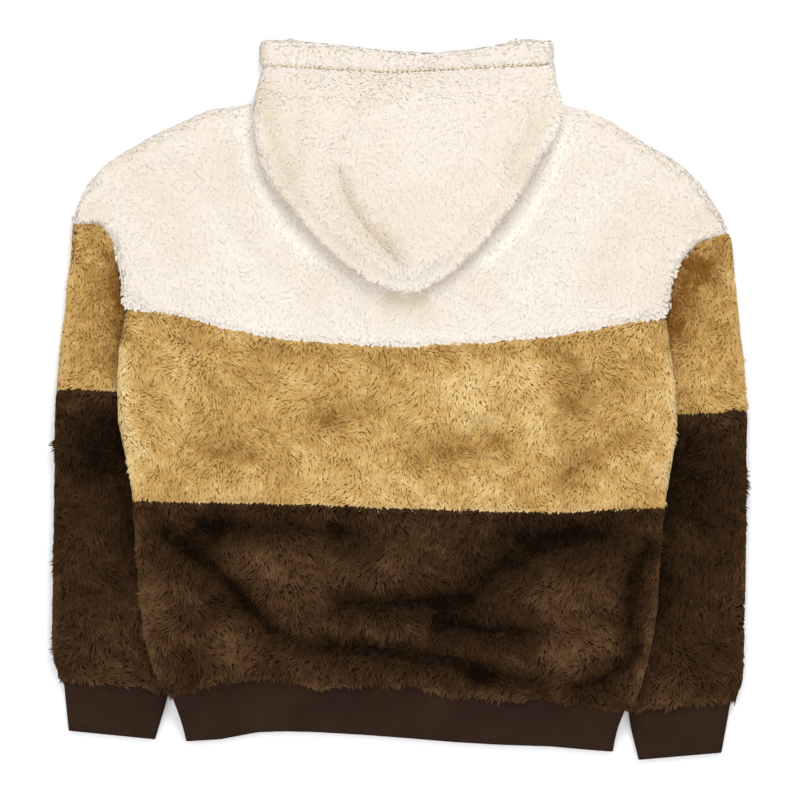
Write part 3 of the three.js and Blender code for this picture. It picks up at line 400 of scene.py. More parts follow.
def pile(name, surface, across, down, seed, turns, wool, u_range=(0, 1), shown=None, trim=1.0):
    """Locks of pile, planted one to a jittered cell and thinned so that each has that area of cloth.

    A lock has three sides and two points: it leaves the backing along the surface's normal, is widest at
    its bend and leans over in the direction of the nap to its tip. Its shading normals lean to the cloth's
    own, as light spreads through wool. Attributes: place along it, its own tone, and the nap's broad
    patches together with the painted shade and painted highlights that turns lays along curves."""
    rng = np.random.default_rng(seed)
    length, height, width, area, backing, soft, patchy, look = wool
    length, height = length * trim, height * trim
    i, j = np.meshgrid(np.arange(across), np.arange(down), indexing="ij")
    u = mix(*u_range, (i + rng.random(i.shape)) / across).ravel()
    v = ((j + rng.random(i.shape)) / down).ravel()
    outer, inner, pressed = surface(u, v)
    step = 1e-3
    across_u = surface(np.minimum(u + step, 1), v)[0] - surface(np.maximum(u - step, 0), v)[0]
    down_v = surface(u, np.minimum(v + step, 1))[0] - surface(u, np.maximum(v - step, 0))[0]
    span_u = np.minimum(u + step, 1) - np.maximum(u - step, 0)
    span_v = np.minimum(v + step, 1) - np.maximum(v - step, 0)
    normal = np.cross(across_u / span_u[:, None], down_v / span_v[:, None])
    cell = np.linalg.norm(normal, axis=-1) * (u_range[1] - u_range[0]) / (across * down)
    normal = unit(normal)
    normal *= np.sign(np.einsum("ij,ij->i", normal, outer - inner))[:, None]
    keep = (rng.random(len(u)) < cell / area) & (pressed < 0.5)
    if shown is not None:
        keep &= shown(outer, normal)
    from_seam = (np.minimum(v, 1 - v) * np.linalg.norm(down_v / span_v[:, None], axis=-1))[keep]
    outer, inner, normal = outer[keep], inner[keep], normal[keep]
    count = len(outer)
    x, y = outer[:, 0], outer[:, 1]
    angle = (
        -np.pi / 2 + 0.85 * ripple(x, y, 120, 3) + 0.55 * ripple(x, y, 42, 4)
        + 0.25 * rng.standard_normal(count)
    )
    nap = np.stack([np.cos(angle), np.sin(angle), 0 * angle], -1)
    nap += 0.3 * np.stack([ripple(x, y, 9, 5), ripple(x, y, 9, 6), 0 * x], -1)
    nap -= normal * np.einsum("ij,ij->i", nap, normal)[:, None]
    size = 0.8 + 0.4 * rng.random(count)
    reach = length * size * (0.85 + 0.25 * ripple(x, y, 30, 7)) * (0.8 + 0.2 * smooth(from_seam / 8))
    rise = height * (0.82 + 0.3 * rng.random(count))
    root = mix(inner, outer, backing * 0.8)
    bend = root + normal * (0.62 * rise)[:, None] + nap * (0.30 * reach)[:, None]
    tip = root + normal * (0.90 * rise)[:, None] + nap * reach[:, None]
    direction = unit(tip - root)
    aside = unit(np.cross(direction, normal + 0.01))
    other = np.cross(direction, aside)
    turn = rng.random(count)[:, None] * 2 * np.pi + np.arange(3) * 2 * np.pi / 3
    circle = aside[:, None] * np.cos(turn)[..., None] + other[:, None] * 0.6 * np.sin(turn)[..., None]
    bend_ring = bend[:, None] + circle * (width / 2 * size)[:, None, None]
    points = np.concatenate([root[:, None], bend_ring, tip[:, None]], 1)
    points[..., 2] = np.maximum(points[..., 2], 0.3)
    corner = np.array([[0, 2, 1], [0, 3, 2], [0, 1, 3], [1, 2, 4], [2, 3, 4], [3, 1, 4]])
    faces = (np.arange(count)[:, None, None] * 5 + corner).reshape(-1, 3)
    made = new_mesh(name, (points.reshape(-1, 3) + pattern_middle) / 1000, faces)
    round_normals = np.concatenate([-direction[:, None], unit(circle), direction[:, None]], 1)
    normals = unit(round_normals * (1 - soft) + normal[:, None] * soft).reshape(-1, 3)
    made.data.normals_split_custom_set_from_vertices(normals.astype(np.float32))
    along = np.tile([0, 0.5, 0.5, 0.5, 1], count)
    tone = rng.random(count)
    patches = 0.4 * ripple(x, y, 80, 11) + 0.5 * ripple(0.6 * x, y, 22, 12) + 0.4 * ripple(x, y, 12, 13)
    # The nap's broad random patches, plus painted shade and painted highlights along the curves of turns
    lie = 0.5 + patchy * patches + crease_depth(turns, x, y, halo=0.4)
    for key, values in (("along", along), ("tone", np.repeat(tone, 5)), ("lie", np.repeat(lie, 5))):
        kept = made.data.attributes.new(key, "FLOAT", "POINT")
        kept.data.foreach_set("value", values.astype(np.float32))
    grid = int(np.ceil(np.sqrt(count)))
    column, row = np.arange(count) % grid, np.arange(count) // grid
    flat_x = (column[:, None] + np.array([0.5, 0.2, 0.5, 0.8, 0.5])) / grid
    flat_y = (row[:, None] + 0.15 + 0.7 * along[:5]) / grid
    flat = np.stack([flat_x.ravel(), flat_y.ravel()], -1)[faces.ravel()].astype(np.float32)
    made.data.uv_layers.new(name="OFBake").data.foreach_set("uv", flat.ravel())
    made.data.materials.append(look)
    return made


def pile_finish(name, deep, body, light, depth, sheen, painted_glow=0.0):
    """Locks are deep at their roots and paler at their tips, partly the wool's own deeper undercoat and
    partly painted shade among the locks, and depth sets how far. Each is a little different, and paler or
    deeper in the nap's broad patches and where painted shade and painted highlights fall. Its emission is
    painted light that lifts the shade between the locks."""
    material, shader, start = finish(
        name, 0.9, Sheen_Weight=sheen, Sheen_Roughness=0.6, Specular_IOR_Level=0.04, Emission_Strength=painted_glow,
    )
    shader.inputs["Emission Color"].default_value = (*light, 1)
    along, tone, lie = (
        start.made("Fac", "ShaderNodeAttribute", {"attribute_name": key})
        for key in ("along", "tone", "lie")
    )
    level = (along * depth + tone * 0.16 + lie * 0.8 - 0.4 * depth - 0.08).held()
    ramp = start.node("ShaderNodeValToRGB", {"stops": [(0.0, deep), (0.5, body), (1.0, light)]}, Fac=level)
    material.node_tree.links.new(ramp.outputs["Color"], shader.inputs["Base Color"])
    return material


def backing_finish(name, deep, body, painted_glow=0.0):
    """Pressed pile: short strokes of light and deep wool in noise that is drawn out down the cloth. Its
    emission is painted light that lifts the shade seen between the locks.
    """
    grain = 0.0022
    material, shader, start = finish(name, 0.95, Specular_IOR_Level=0.04, Emission_Strength=painted_glow)
    shader.inputs["Emission Color"].default_value = (*body, 1)
    place = start.made("Object", "ShaderNodeTexCoord")
    drawn = start.made(0, "ShaderNodeMapping", n0=place, Scale=(1, 0.45, 1))
    strokes = start.made("Fac", "ShaderNodeTexNoise", Vector=drawn, Scale=0.5 / grain, Detail=3.0)
    patches = start.made("Fac", "ShaderNodeTexNoise", Vector=drawn, Scale=14.0, Detail=2.0)
    level = ((strokes - 0.5) * 1.8 + (patches - 0.5) * 0.9 + 0.5).held()
    ramp = start.node("ShaderNodeValToRGB", {"stops": [(0.0, deep), (1.0, body)]}, Fac=level)
    material.node_tree.links.new(ramp.outputs["Color"], shader.inputs["Base Color"])
    bump = start.node("ShaderNodeBump", Strength=0.8, Distance=0.002, Height=strokes)
    material.node_tree.links.new(bump.outputs["Normal"], shader.inputs["Normal"])
    return material


def dress(piece, material, node=None):
    """Gives a piece its finish and its place on the frame."""
    if material:
        piece.data.materials.append(material)
    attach(piece, "root")
    if node:
        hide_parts(node)
    return piece


# Painted shade and painted highlights on the pile: deeper in the creases and where one part shades another,
# paler on the ridges and along the lit side edges, with some broad paler and deeper patches of the nap
# itself:
# curves as above, then width and how much
tan_painted_shade = [
    (-116, -34, -67, -17, -13, -12, 9, -0.3), (3, -74, 56, -56, 137, -45, 10, -0.36),
    (166, -103, 224, -56, 286, -34, 10, -0.3), (-249, -39, -207, -52, -155, -71, 8, -0.26),
    (181, 58, 197, 17, 190, -25, 19, -0.24), (-196, 31, -155, 22, -112, 31, 18, -0.1),
    (-291, 76, 0, 52, 274, 74, 8, -0.16), (-168, -34, -155, -58, -112, -78, 13, -0.1),
    (184, 56, 202, 20, 206, -30, 20, -0.06), (-250, 10, -200, -20, -140, -20, 9, -0.12),
    (28, 2, 101, 28, 166, 38, 22, 0.22), (50, -28, 112, -18, 179, -28, 11, 0.14),
    (226, -76, 260, -58, 291, -49, 9, 0.16), (-112, -78, 0, -96, 134, -90, 20, 0.08),
    (-280, 22, -258, 0, -224, -6, 20, 0.08), (-305, 73, -312, -11, -293, -103, 6, 0.3),
    (300, 73, 307, -22, 296, -106, 6, 0.3), (-291, -111, 0, -120, 291, -120, 4, 0.22),
]
tan_look = pile_finish(
    "tan_pile", linear(120, 80, 28), linear(192, 155, 92), linear(234, 212, 160), depth=0.34, sheen=0.08,
)
# length, height, width and cloth area of a lock in mm and mm², the backing's share of the ply, how far the
# shading is the cloth's, how patchy the nap is, and the finish
tan_wool = (8.8, 3.9, 3.2, 4.2, 0.58, 0.68, 0.19, tan_look)
tan_backing = backing_finish("tan_backing", linear(160, 116, 58), linear(204, 162, 98))
for side, word in ((1, "back"), (-1, "front")):
    panel = body_panel("yoke", "middle", side)
    across, down = (110, 30) if side > 0 else (64, 24)
    body = cloth(f"{word}_middle_cloth", panel, across, down, tan_wool[4], gathered=True)
    dress(body, tan_backing, f"{word}_middle")
    wool = pile(f"{word}_middle_pile", panel, 340, 108, 21 + side, tan_painted_shade, tan_wool)
    dress(wool, None)


# The lower part of the body, back and front: dark brown sherpa that blouses over the rib. It has the
# deepest creases, where the cloth folds over the gathered hem and beside the sleeves.
# Painted shade in the creases of the lower body, under the seam with the tan and where it blouses over the
# hem, and painted highlights on the ridges and along the folded sides: curves as above, then width and how
# much
brown_painted_shade = [
    (-296, -128, -202, -194, -118, -284, 9, -0.6), (-256, -130, -150, -140, -40, -140, 10, -0.5),
    (-232, -126, -215, -140, -202, -156, 14, -0.35), (-84, -132, -48, -156, -13, -178, 18, -0.3),
    (-100, -218, 14, -226, 104, -208, 13, -0.55), (84, -212, 148, -164, 270, -134, 17, -0.5),
    (96, -148, 150, -145, 214, -136, 9, -0.35), (28, -243, 76, -251, 170, -262, 13, -0.5),
    (-136, -270, 20, -283, 116, -310, 11, -0.6), (70, -296, 120, -311, 190, -316, 9, -0.5),
    (288, -146, 262, -205, 264, -272, 11, -0.6), (264, -260, 244, -296, 180, -330, 8, -0.55),
    (-250, -272, -240, -294, -222, -314, 12, -0.35), (-216, -216, -196, -226, -160, -226, 12, -0.25),
    (-220, -172, -120, -186, 40, -184, 26, 0.2), (-280, -190, -262, -250, -232, -318, 12, 0.18),
    (-202, -238, -184, -270, -150, -300, 16, 0.18), (140, -206, 206, -216, 244, -190, 20, 0.18),
    (150, -270, 196, -280, 244, -244, 20, 0.2), (-110, -250, -22, -256, 34, -264, 9, 0.22),
    (10, -268, 90, -284, 160, -294, 9, 0.24), (-262, -326, 0, -322, 176, -334, 6, 0.28),
    (-297, -118, -294, -224, -264, -332, 6, 0.4), (292, -150, 288, -244, 258, -336, 7, 0.4),
]
brown_look = pile_finish(
    "brown_pile", linear(17, 9, 3), linear(59, 40, 23), linear(112, 85, 58), depth=0.38, sheen=0.0,
)
brown_wool = (10.2, 4.1, 2.7, 4.1, 0.58, 0.58, 0.15, brown_look)
brown_backing = backing_finish("brown_backing", linear(24, 13, 5), linear(50, 33, 18))
for side, word in ((1, "back"), (-1, "front")):
    panel = body_panel("middle", "rib", side)
    across, down = (110, 34) if side > 0 else (64, 26)
    body = cloth(f"{word}_lower_cloth", panel, across, down, brown_wool[4], gathered=True)
    dress(body, brown_backing, f"{word}_lower")
    wool = pile(f"{word}_lower_pile", panel, 330, 120, 31 + side, brown_painted_shade, brown_wool)
    dress(wool, None)


# The yoke, back and front: cream sherpa over the shoulders, with dropped armholes. It folds over at the
# shoulder line. The front is cut lower at the neck.
# x, lower edge, shoulder line and the edge of the front neck
yoke_edges = np.array([
    (-366, 200, 205, 205), (-361, 199.5, 216, 216), (-354, 199, 233, 233), (-346, 198, 247, 247),
    (-334, 196, 260, 260), (-321, 181, 271, 271), (-311, 142, 277, 277), (-305, 104.3, 281, 281),
    (-273, 100, 300, 300), (-241, 94, 314, 314), (-214, 86, 326, 326), (-165, 75, 333, 333),
    (-108, 67, 336, 335), (-96, 66, 334, 292), (-62, 63, 327, 258), (-20, 61, 321, 242),
    (28, 61, 321, 242), (70, 63, 327, 258), (104, 66, 334, 292), (116, 67, 336, 335), (165, 71, 334, 334),
    (204, 78, 327, 327), (234, 83, 314, 314), (255, 86, 301, 301), (277, 90, 287, 287),
    (297, 95.3, 276, 276), (302, 134, 273, 273), (313, 157, 265, 265), (334, 175, 246, 246),
    (344, 179, 233, 233), (352, 182, 219, 219), (360, 185, 207, 207), (366, 187, 192, 192),
])
armhole = curve(yoke_edges[:, 0], yoke_edges[:, 1], soften=5)
shoulder = curve(yoke_edges[:, 0], yoke_edges[:, 2], soften=12)
front_neck = curve(yoke_edges[:, 0], yoke_edges[:, 3], soften=5)
YOKE_END = 366  # x of the yoke's ends, at the tops of the armholes
LAP = 2.5  # how far the yoke lies over the sleeve along the armhole
# The steep part of both armholes, where the yoke rounds down to the sleeve
rim_x = np.outer([-1, 1], np.linspace(297, 345, 49)).ravel()
rim_y = armhole(rim_x - LAP * np.sign(rim_x))


def yoke_panel(side, upper_edge):
    """The yoke over u across and v up from its lower edge, then a quarter turn round the shoulder.

    The columns stand closer towards both ends, where the yoke rounds down as a quarter oval."""

    def surface(u, v):
        x = YOKE_END * (1.12 * (2 * u - 1) - 0.12 * (2 * u - 1) ** 3)
        inside = (x > side_left(104)) & (x < side_right(96))
        low = np.where(inside, seam["yoke"](x), armhole(x - LAP * np.sign(x))) + SEAM_GAP / 2
        high = upper_edge(x)
        from_end = np.minimum(x + YOKE_END, YOKE_END - x) + 2
        end = np.sqrt(1 - (1 - np.minimum(1, from_end / 16)) ** 2)
        reach = np.minimum(BEND, (high - low) * 0.6)
        flat = high - reach
        place = v * (flat - low + reach * np.pi / 2)
        turn = np.clip((place - (flat - low)) / reach, 0, np.pi / 2)
        y = low + np.minimum(place, flat - low)
        middle = BEND + SEAM_GAP / 2 + lift(x, y) + side * SEAM_GAP / 2
        loft = 0 * u
        if side > 0:
            loft = back_loft(x, y) * smooth((flat - y) / 30) * smooth((from_end - 14) / 40)
        dip = 0
        if side > 0:
            from_rim = np.hypot(x[..., None] - rim_x, y[..., None] - rim_y).min(-1)
            at_seam, at_rim = SEAM_DIP * (1 - smooth((y - low) / 8)), 5 * (1 - smooth(from_rim / 10))
            dip = np.maximum(at_seam, at_rim) * np.cos(turn)
        out_z = middle + side * ((BEND * np.cos(turn) - dip) * end + loft)
        in_z = middle + side * (AIR / 2 * np.cos(turn) * end + loft)
        outer = np.stack([x, y + reach * np.sin(turn), out_z], -1)
        inner = np.stack([x, y + reach * np.sin(turn) * (AIR / 2 / BEND), in_z], -1)
        pressed = smooth(np.cos(turn) * 2 - 0.4) * smooth((from_end - 6) / 10) if side < 0 else 0 * u
        return outer, inner, pressed

    return surface


# Painted shade around the hood's edge and under its tip, at the shoulders' ends and along the shoulder
# line, and painted highlights a little out from the hood's edge and on the yoke's flats: curves as above,
# then width and how much
yoke_painted_shade = [
    (-190, 300, -146, 196, -60, 112, 20, -0.2), (190, 290, 150, 204, 60, 116, 20, -0.18),
    (-176, 350, -152, 226, -66, 140, 8, 0.5), (186, 340, 154, 222, 66, 138, 8, 0.5),
    (-22, 119, 9, 112, 40, 120, 11, -0.5), (-323, 244, -263, 224, -235, 129, 18, -0.18),
    (286, 241, 241, 179, 213, 106, 18, -0.18), (332, 228, 296, 168, 282, 99, 14, -0.14),
    (-356, 217, -340, 208, -323, 199, 10, -0.25), (361, 215, 342, 204, 325, 185, 10, -0.25),
    (-340, 258, -263, 311, -184, 332, 8, -0.15), (199, 327, 271, 298, 348, 236, 8, -0.15),
    (-218, 224, -174, 146, -106, 103, 25, 0.15), (112, 106, 181, 179, 224, 269, 20, 0.15),
    (-291, 112, 0, 69, 280, 92, 10, 0.1), (-179, 323, -188, 280, -184, 235, 12, -0.2),
]
# The cream pile and backing have a little emission: painted light that lifts the shade between the locks.
cream_look = pile_finish(
    "cream_pile", linear(202, 189, 169), linear(215, 208, 200), linear(238, 234, 228),
    depth=0.06, sheen=0.0, painted_glow=0.09,
)
cream_wool = (7.6, 2.0, 5.4, 5.3, 0.82, 0.97, 0.05, cream_look)
cream_backing = backing_finish("cream_backing", linear(206, 198, 185), linear(216, 210, 200), painted_glow=0.09)
# The hood's lower edge as it lies on the yoke, and how far the pile goes on under it
HOOD_LEFT, HOOD_RIGHT, UNDER_HOOD = -158, 170, 16
hood_y = curve([-170, -147, -110, -64, 5, 68, 111, 146, 185], [345, 243, 199, 153, 118, 150, 197, 246, 345])


def clear_of_hood(outer, normal):
    """Where the hood doesn't cover the yoke, with a little to spare under the hood's edge."""
    inside = (outer[:, 0] > HOOD_LEFT) & (outer[:, 0] < HOOD_RIGHT)
    return ~(inside & (outer[:, 1] > hood_y(outer[:, 0]) + UNDER_HOOD))


for side, word, edge in ((1, "back", shoulder), (-1, "front", front_neck)):
    panel = yoke_panel(side, edge)
    across, down = (120, 40) if side > 0 else (110, 30)
    body = cloth(f"{word}_yoke_cloth", panel, across, down, cream_wool[4])
    dress(body, cream_backing, f"{word}_yoke")
    wool = pile(
        f"{word}_yoke_pile", panel, 420, 150, 41 + side, yoke_painted_shade, cream_wool, shown=clear_of_hood,
    )
    dress(wool, None)


# The sleeves: flat tubes of tan sherpa above and dark brown sherpa below a seam. Their inner part is
# tucked under the body, and they gather a little into the cuffs.
def flat_tube(table, high, low, ply, shape):
    """A tube pressed flat as a function of u round it, from the outer fold's top, and v down along it.

    Round it come the outer fold, the lower face, the inner fold and the upper face, and the folds are
    half circles. Shape gives the height of its middle, how flat it is, its loft and where its pile is
    pressed."""
    corners = [0, 0.16, 0.5, 0.66, 1]
    outside, inside, slant = (curve(table[:, 0], table[:, k]) for k in (1, 2, 3))
    bend = ply + AIR / 2

    def surface(u, v):
        y = mix(high, low, v)
        out_x, in_x = outside(y), inside(y)
        way = np.sign(table[0, 1])
        share = np.interp(u, corners, [1, 1, 0, 0, 1])
        turn = np.interp(u, corners, np.array([0.5, -0.5, -0.5, -1.5, -1.5]) * np.pi)
        centre = mix(in_x + way * bend, out_x - way * bend, share)
        middle, squeeze, loft, pressed = shape(centre, y, np.abs(centre - out_x) - bend, np.sin(turn))
        rings = []
        for size in (bend, AIR / 2):
            x = centre + way * size * np.cos(turn)
            z = middle + size * squeeze * np.sin(turn) + loft * smooth(np.sin(turn))
            rings.append(np.stack([x, y + slant(y) * np.abs(x - in_x), z], -1))
        return rings[0], rings[1], pressed

    return surface


def sleeve_shape(side_edge, end, ends):
    """Fleece sleeve: what lies outside the body's side stands 4 mm higher, and it thins at its ends."""

    def shape(x, y, from_edge, up):
        gather = smooth((end + 22 - y) / 22)
        near = np.minimum(np.abs(y - ends[0]), np.abs(y - ends[1]))
        squeeze = mix(mix(0.82, 1, smooth(near / 7)), 0.62, gather)
        shown = smooth((np.abs(x) - np.abs(side_edge(np.minimum(104, y))) - 10) / 20)
        puckers = 0.5 + 0.5 * np.sin(x / 3.1 + 1.5 * np.sin(x / 11)) * gather
        loft = 4 * shown * smooth((from_edge + 6) / 22) * (1 - gather) + 0.8 * puckers * gather
        tucked = smooth((np.abs(side_edge(np.minimum(104, y))) - 26 - np.abs(x)) / 8)
        pressed = np.maximum(smooth(-up * 2 - 0.4), tucked * smooth(up * 4))
        return BEND * mix(1, 0.68, gather), squeeze, loft, pressed

    return shape


# Painted shade on the sleeves near the armholes, where the body shades them, broadly on their upper parts
# and along their inner edges, and painted highlights along their outer folds and by the cuffs: curves as
# above, then width and how much
sleeve_painted_shade = [
    (-345, 190, -345, 100, -350, 10, 40, -0.1), (345, 180, 345, 90, 350, -10, 40, -0.12),
    (-350, 10, -345, -150, -335, -330, 40, -0.16), (350, -10, 345, -160, 335, -346, 40, -0.16),
    (-323, 181, -311, 112, -315, 13, 15, -0.5), (-361, 184, -345, 179, -325, 168, 9, -0.22),
    (338, 172, 316, 123, 305, 54, 17, -0.5), (370, 175, 347, 166, 330, 146, 9, -0.22),
    (-374, 184, -381, 90, -386, 9, 7, 0.26), (379, 172, 384, 78, 390, -11, 7, 0.26),
    (-353, 4, -345, -45, -338, -96, 31, -0.3), (-311, 4, -307, -90, -300, -190, 11, -0.34),
    (-356, -213, -340, -264, -325, -316, 27, 0.14), (-389, 4, -393, -134, -390, -305, 6, 0.26),
    (345, -20, 340, -78, 330, -157, 27, -0.24), (305, -22, 300, -134, 290, -269, 11, -0.36),
    (391, -16, 392, -146, 385, -327, 6, 0.26), (269, -269, 264, -302, 262, -336, 7, -0.2),
    (-381, -309, -325, -318, -269, -329, 7, 0.16), (269, -338, 325, -334, 381, -327, 7, 0.16),
]
# y at the top, at the seam between the colours and at the cuff, then the seeds of both parts
sleeves = {
    "left": (sleeve_left, side_left, 195.5, 9, -325, 26, 342),
    "right": (sleeve_right, side_right, 176.2, -19, -346, 36, 364),
}
for word, (table, side_edge, top, joint, end, upper_seed, lower_seed) in sleeves.items():
    for part, high, low, wool_kind, back_finish, slot, seed in (
        ("upper", top, joint + 0.2, tan_wool, tan_backing, "tan_fleece", upper_seed),
        ("lower", joint - 0.2, end, brown_wool, brown_backing, "brown_fleece", lower_seed),
    ):
        tube = flat_tube(table, high, low, PLY, sleeve_shape(side_edge, end, (high, low)))
        name = f"sleeve_{part}_{word}"
        body = dress(cloth(f"{name}_cloth", tube, 60, 30, wool_kind[4], ring=True), back_finish, name)
        wool = pile(f"{name}_pile", tube, 240, 190, seed, sleeve_painted_shade, wool_kind)
        dress(wool, None)
        rows = np.linspace(low, high, 60)
        round_it = 2 * np.abs(np.interp(rows, table[::-1, 0], (table[:, 1] - table[:, 2])[::-1])) / 1000
        long = (high - low) / 1000
        area = float(round_it.mean()) * long


# The hood: two cream halves joined by a seam that runs from the opening to the tip. It lies on the
# yoke with its lower face folded under, and a flat piece runs below from each side fold to the throat.
# seam x, y, left fold x, y, right fold x, y, height of the upper and lower face, share of the lower face
hood_rows = np.array([
    (-12, 366, -153, 375, 174, 376, 18, 0, 0.2), (-22, 354, -159, 356, 176, 356, 25, 0, 0.2),
    (-32, 345, -162, 345, 179, 345, 30, 0, 0.2), (-40, 338.5, -163, 338.5, 181, 338.5, 34, 10, 0.2),
    (-46, 331, -164, 331, 182, 331, 36, 20, 1), (-56, 312, -165, 312, 181, 314, 38, 20, 1),
    (-64, 290, -162, 288, 173, 291, 39, 20, 1), (-69, 266, -157, 264, 159, 269, 39, 20, 1),
    (-66, 242, -147, 243, 146, 246, 39, 20, 1), (-57, 220, -132, 224, 132, 224, 39, 20, 1),
    (-42, 199, -110, 199, 111, 197, 38, 20, 1), (-23, 178, -89, 177, 90, 172, 38, 20, 1),
    (-7, 160, -64, 153, 68, 150, 37.5, 20, 1), (3, 144, -36, 134, 46, 133, 37, 20, 1),
    (5, 134, -13, 123.5, 24, 123, 36.5, 20, 1), (5, 128, 4.4, 118.5, 5.6, 118.5, 36, 20, 1),
])
hood_column = [curve(np.arange(len(hood_rows)), hood_rows[:, k], soften=1.1) for k in range(9)]
# curves as above, then width and depth
hood_creases = [
    (-74, 268, -50, 207, 16, 138, 11, 5), (-128, 364, -118, 314, -125, 262, 13, 5),
    (158, 348, 150, 300, 122, 256, 12, 6),
]
# Painted shade along the hood's creases, its left edge, its centre seam and the casing's rim, a slight
# darkening over the whole hood, and painted highlights along the hood's folded edges: curves as above, then
# width and how much
hood_painted_shade = [
    (-150, 366, -144, 302, -108, 228, 13, -0.4), (-69, 263, -36, 195, 11, 155, 9, -0.4),
    (4, 380, 4, 300, 4, 120, 110, -0.12),
    (-27, 207, -16, 181, -9, 168, 8, -0.3), (166, 338, 146, 289, 119, 235, 10, -0.34),
    (-155, 260, -112, 188, -38, 134, 10, -0.34), (175, 280, 134, 207, 56, 139, 9, -0.26),
    (-152, 399, -155, 386, -148, 374, 9, -0.2), (-155, 314, -159, 297, -159, 280, 7, 0.2),
    (0, 347, 22, 302, 45, 246, 45, 0.12), (183, 325, 175, 291, 157, 258, 7, 0.25),
    (-148, 404, 4, 391, 168, 404, 4, -0.1), (-156, 402, -157, 390, -155, 377, 4, -0.2),
    (-164, 338, -158, 236, -60, 150, 6, 0.4), (178, 338, 156, 228, 60, 146, 6, 0.4),
]


def hood_half(side):
    """Half of the hood over u, from the centre seam round the fold to the lower face, and v down.

    Across a row the upper face is the row's height with a soft crown, less the creases and the groove
    of the centre seam. The fold is a half oval, and the lower face is flat."""
    fold_x, fold_y = (2, 3) if side < 0 else (4, 5)
    fold_from, fold_to = 0.6, 0.82

    def surface(u, v):
        row = v * (len(hood_rows) - 1)
        start = np.stack([hood_column[0](row) + side * 0.2, hood_column[1](row)], -1)
        fold = np.stack([hood_column[fold_x](row), hood_column[fold_y](row)], -1)
        length = np.linalg.norm(start - fold, axis=-1)
        inward = (start - fold) / length[..., None]
        bend = np.minimum(BEND, length * 0.9)
        top, under, share = (hood_column[k](row) for k in (6, 7, 8))
        middle, half = (top + under) / 2, (top - under) / 2
        along = np.interp(u, [0, fold_from], [1, 0]) * (length - bend) + bend
        turn = np.interp(u, [fold_from, fold_to], [np.pi / 2, -np.pi / 2])
        along_under = np.interp(u, [fold_to, 1], [0, 1]) * (length - bend) * share + bend
        on_top, below = u < fold_from, u > fold_to
        place = fold + inward * along[..., None]
        crown = np.sin(np.pi * np.clip((along - bend) / (2 * np.maximum(length - bend, 0.1)) + 0.1, 0, 1))
        fade = smooth((along - bend) / 26) * smooth((374 - place[..., 1]) / 26)
        groove = 2.0 * np.exp(-(((length - along) / 5) ** 2)) * smooth(length / 40)
        sunk = crease_depth(hood_creases, place[..., 0], place[..., 1])
        puff = 7 * np.minimum(1, length / 80) * crown - sunk
        high = top + np.maximum(puff * fade, -2) - groove
        out_from = np.where(on_top, along, np.where(below, along_under, bend - bend * np.cos(turn)))
        in_turn = bend - AIR / 2 * np.cos(turn) * bend / BEND
        in_from = np.where(on_top, along, np.where(below, along_under, in_turn))
        out_z = np.where(on_top, high, np.where(below, under, middle + half * np.sin(turn)))
        in_height = middle + (half - PLY) * np.sin(turn)
        in_z = np.where(on_top, high - PLY, np.where(below, under + PLY, in_height))
        outer = np.concatenate([fold + inward * out_from[..., None], out_z[..., None]], -1)
        inner = np.concatenate([fold + inward * in_from[..., None], in_z[..., None]], -1)
        return outer, inner, smooth((u - 0.74) / 0.05)

    return surface


neck_middle = 4
# Distance from the middle of the neck, and y, along the neck seam and along the casing
throat_rows = np.array([
    (156, 344, 136, 372), (136, 339.5, 114, 361), (113, 338.8, 108, 354), (108, 333, 100.5, 344),
    (98.5, 293, 72, 307), (64, 259.8, 50, 279), (27, 244.6, 27.5, 251),
])


def throat_piece(side):
    """The flat piece between the neck seam (u = 0) and the casing (u = 1), down to the throat with v."""
    edges = [curve(np.arange(len(throat_rows)), throat_rows[:, k], soften=0.5) for k in range(4)]

    def surface(u, v):
        row = v * (len(throat_rows) - 1)
        x = neck_middle + side * mix(edges[0](row), edges[2](row), u)
        y = mix(edges[1](row), edges[3](row), u)
        return np.stack([x, y, 0 * u], -1), np.stack([x, y, 0 * u + PLY], -1), 0 * u + 1

    return surface


for side, word in ((-1, "left"), (1, "right")):
    half = hood_half(side)
    body = cloth(f"hood_{word}_cloth", half, 64, 42, cream_wool[4])
    below = cloth(f"hood_{word}_throat", throat_piece(side), 6, 30, 1)
    dress(body, cream_backing, f"hood_{word}")
    dress(below, cream_backing)
    wool = pile(f"hood_{word}_pile", half, 140, 210, 61 + side, hood_painted_shade, cream_wool, u_range=(0, 0.8))
    dress(wool, None)


# The casing round the hood's opening: a folded strip that is stitched down along its lower edge. It
# runs over the top, turns round both corners and goes down to the throat below.
# x, upper edge, stitching
opening = np.array([
    (-147, 403, 375), (-123, 404, 373.5), (-78, 399, 370.7), (-41, 395, 368.4), (-6, 391, 366.8),
    (34, 389, 369), (80, 393, 371.4), (113, 399, 373.2), (140, 403, 374.7), (164, 403, 376),
])
CASING = 8.0  # its thickness
CASING_WALL = 3.4
case_top, case_low = 13.2, 4.1
case_radius = (case_top - case_low) / 2


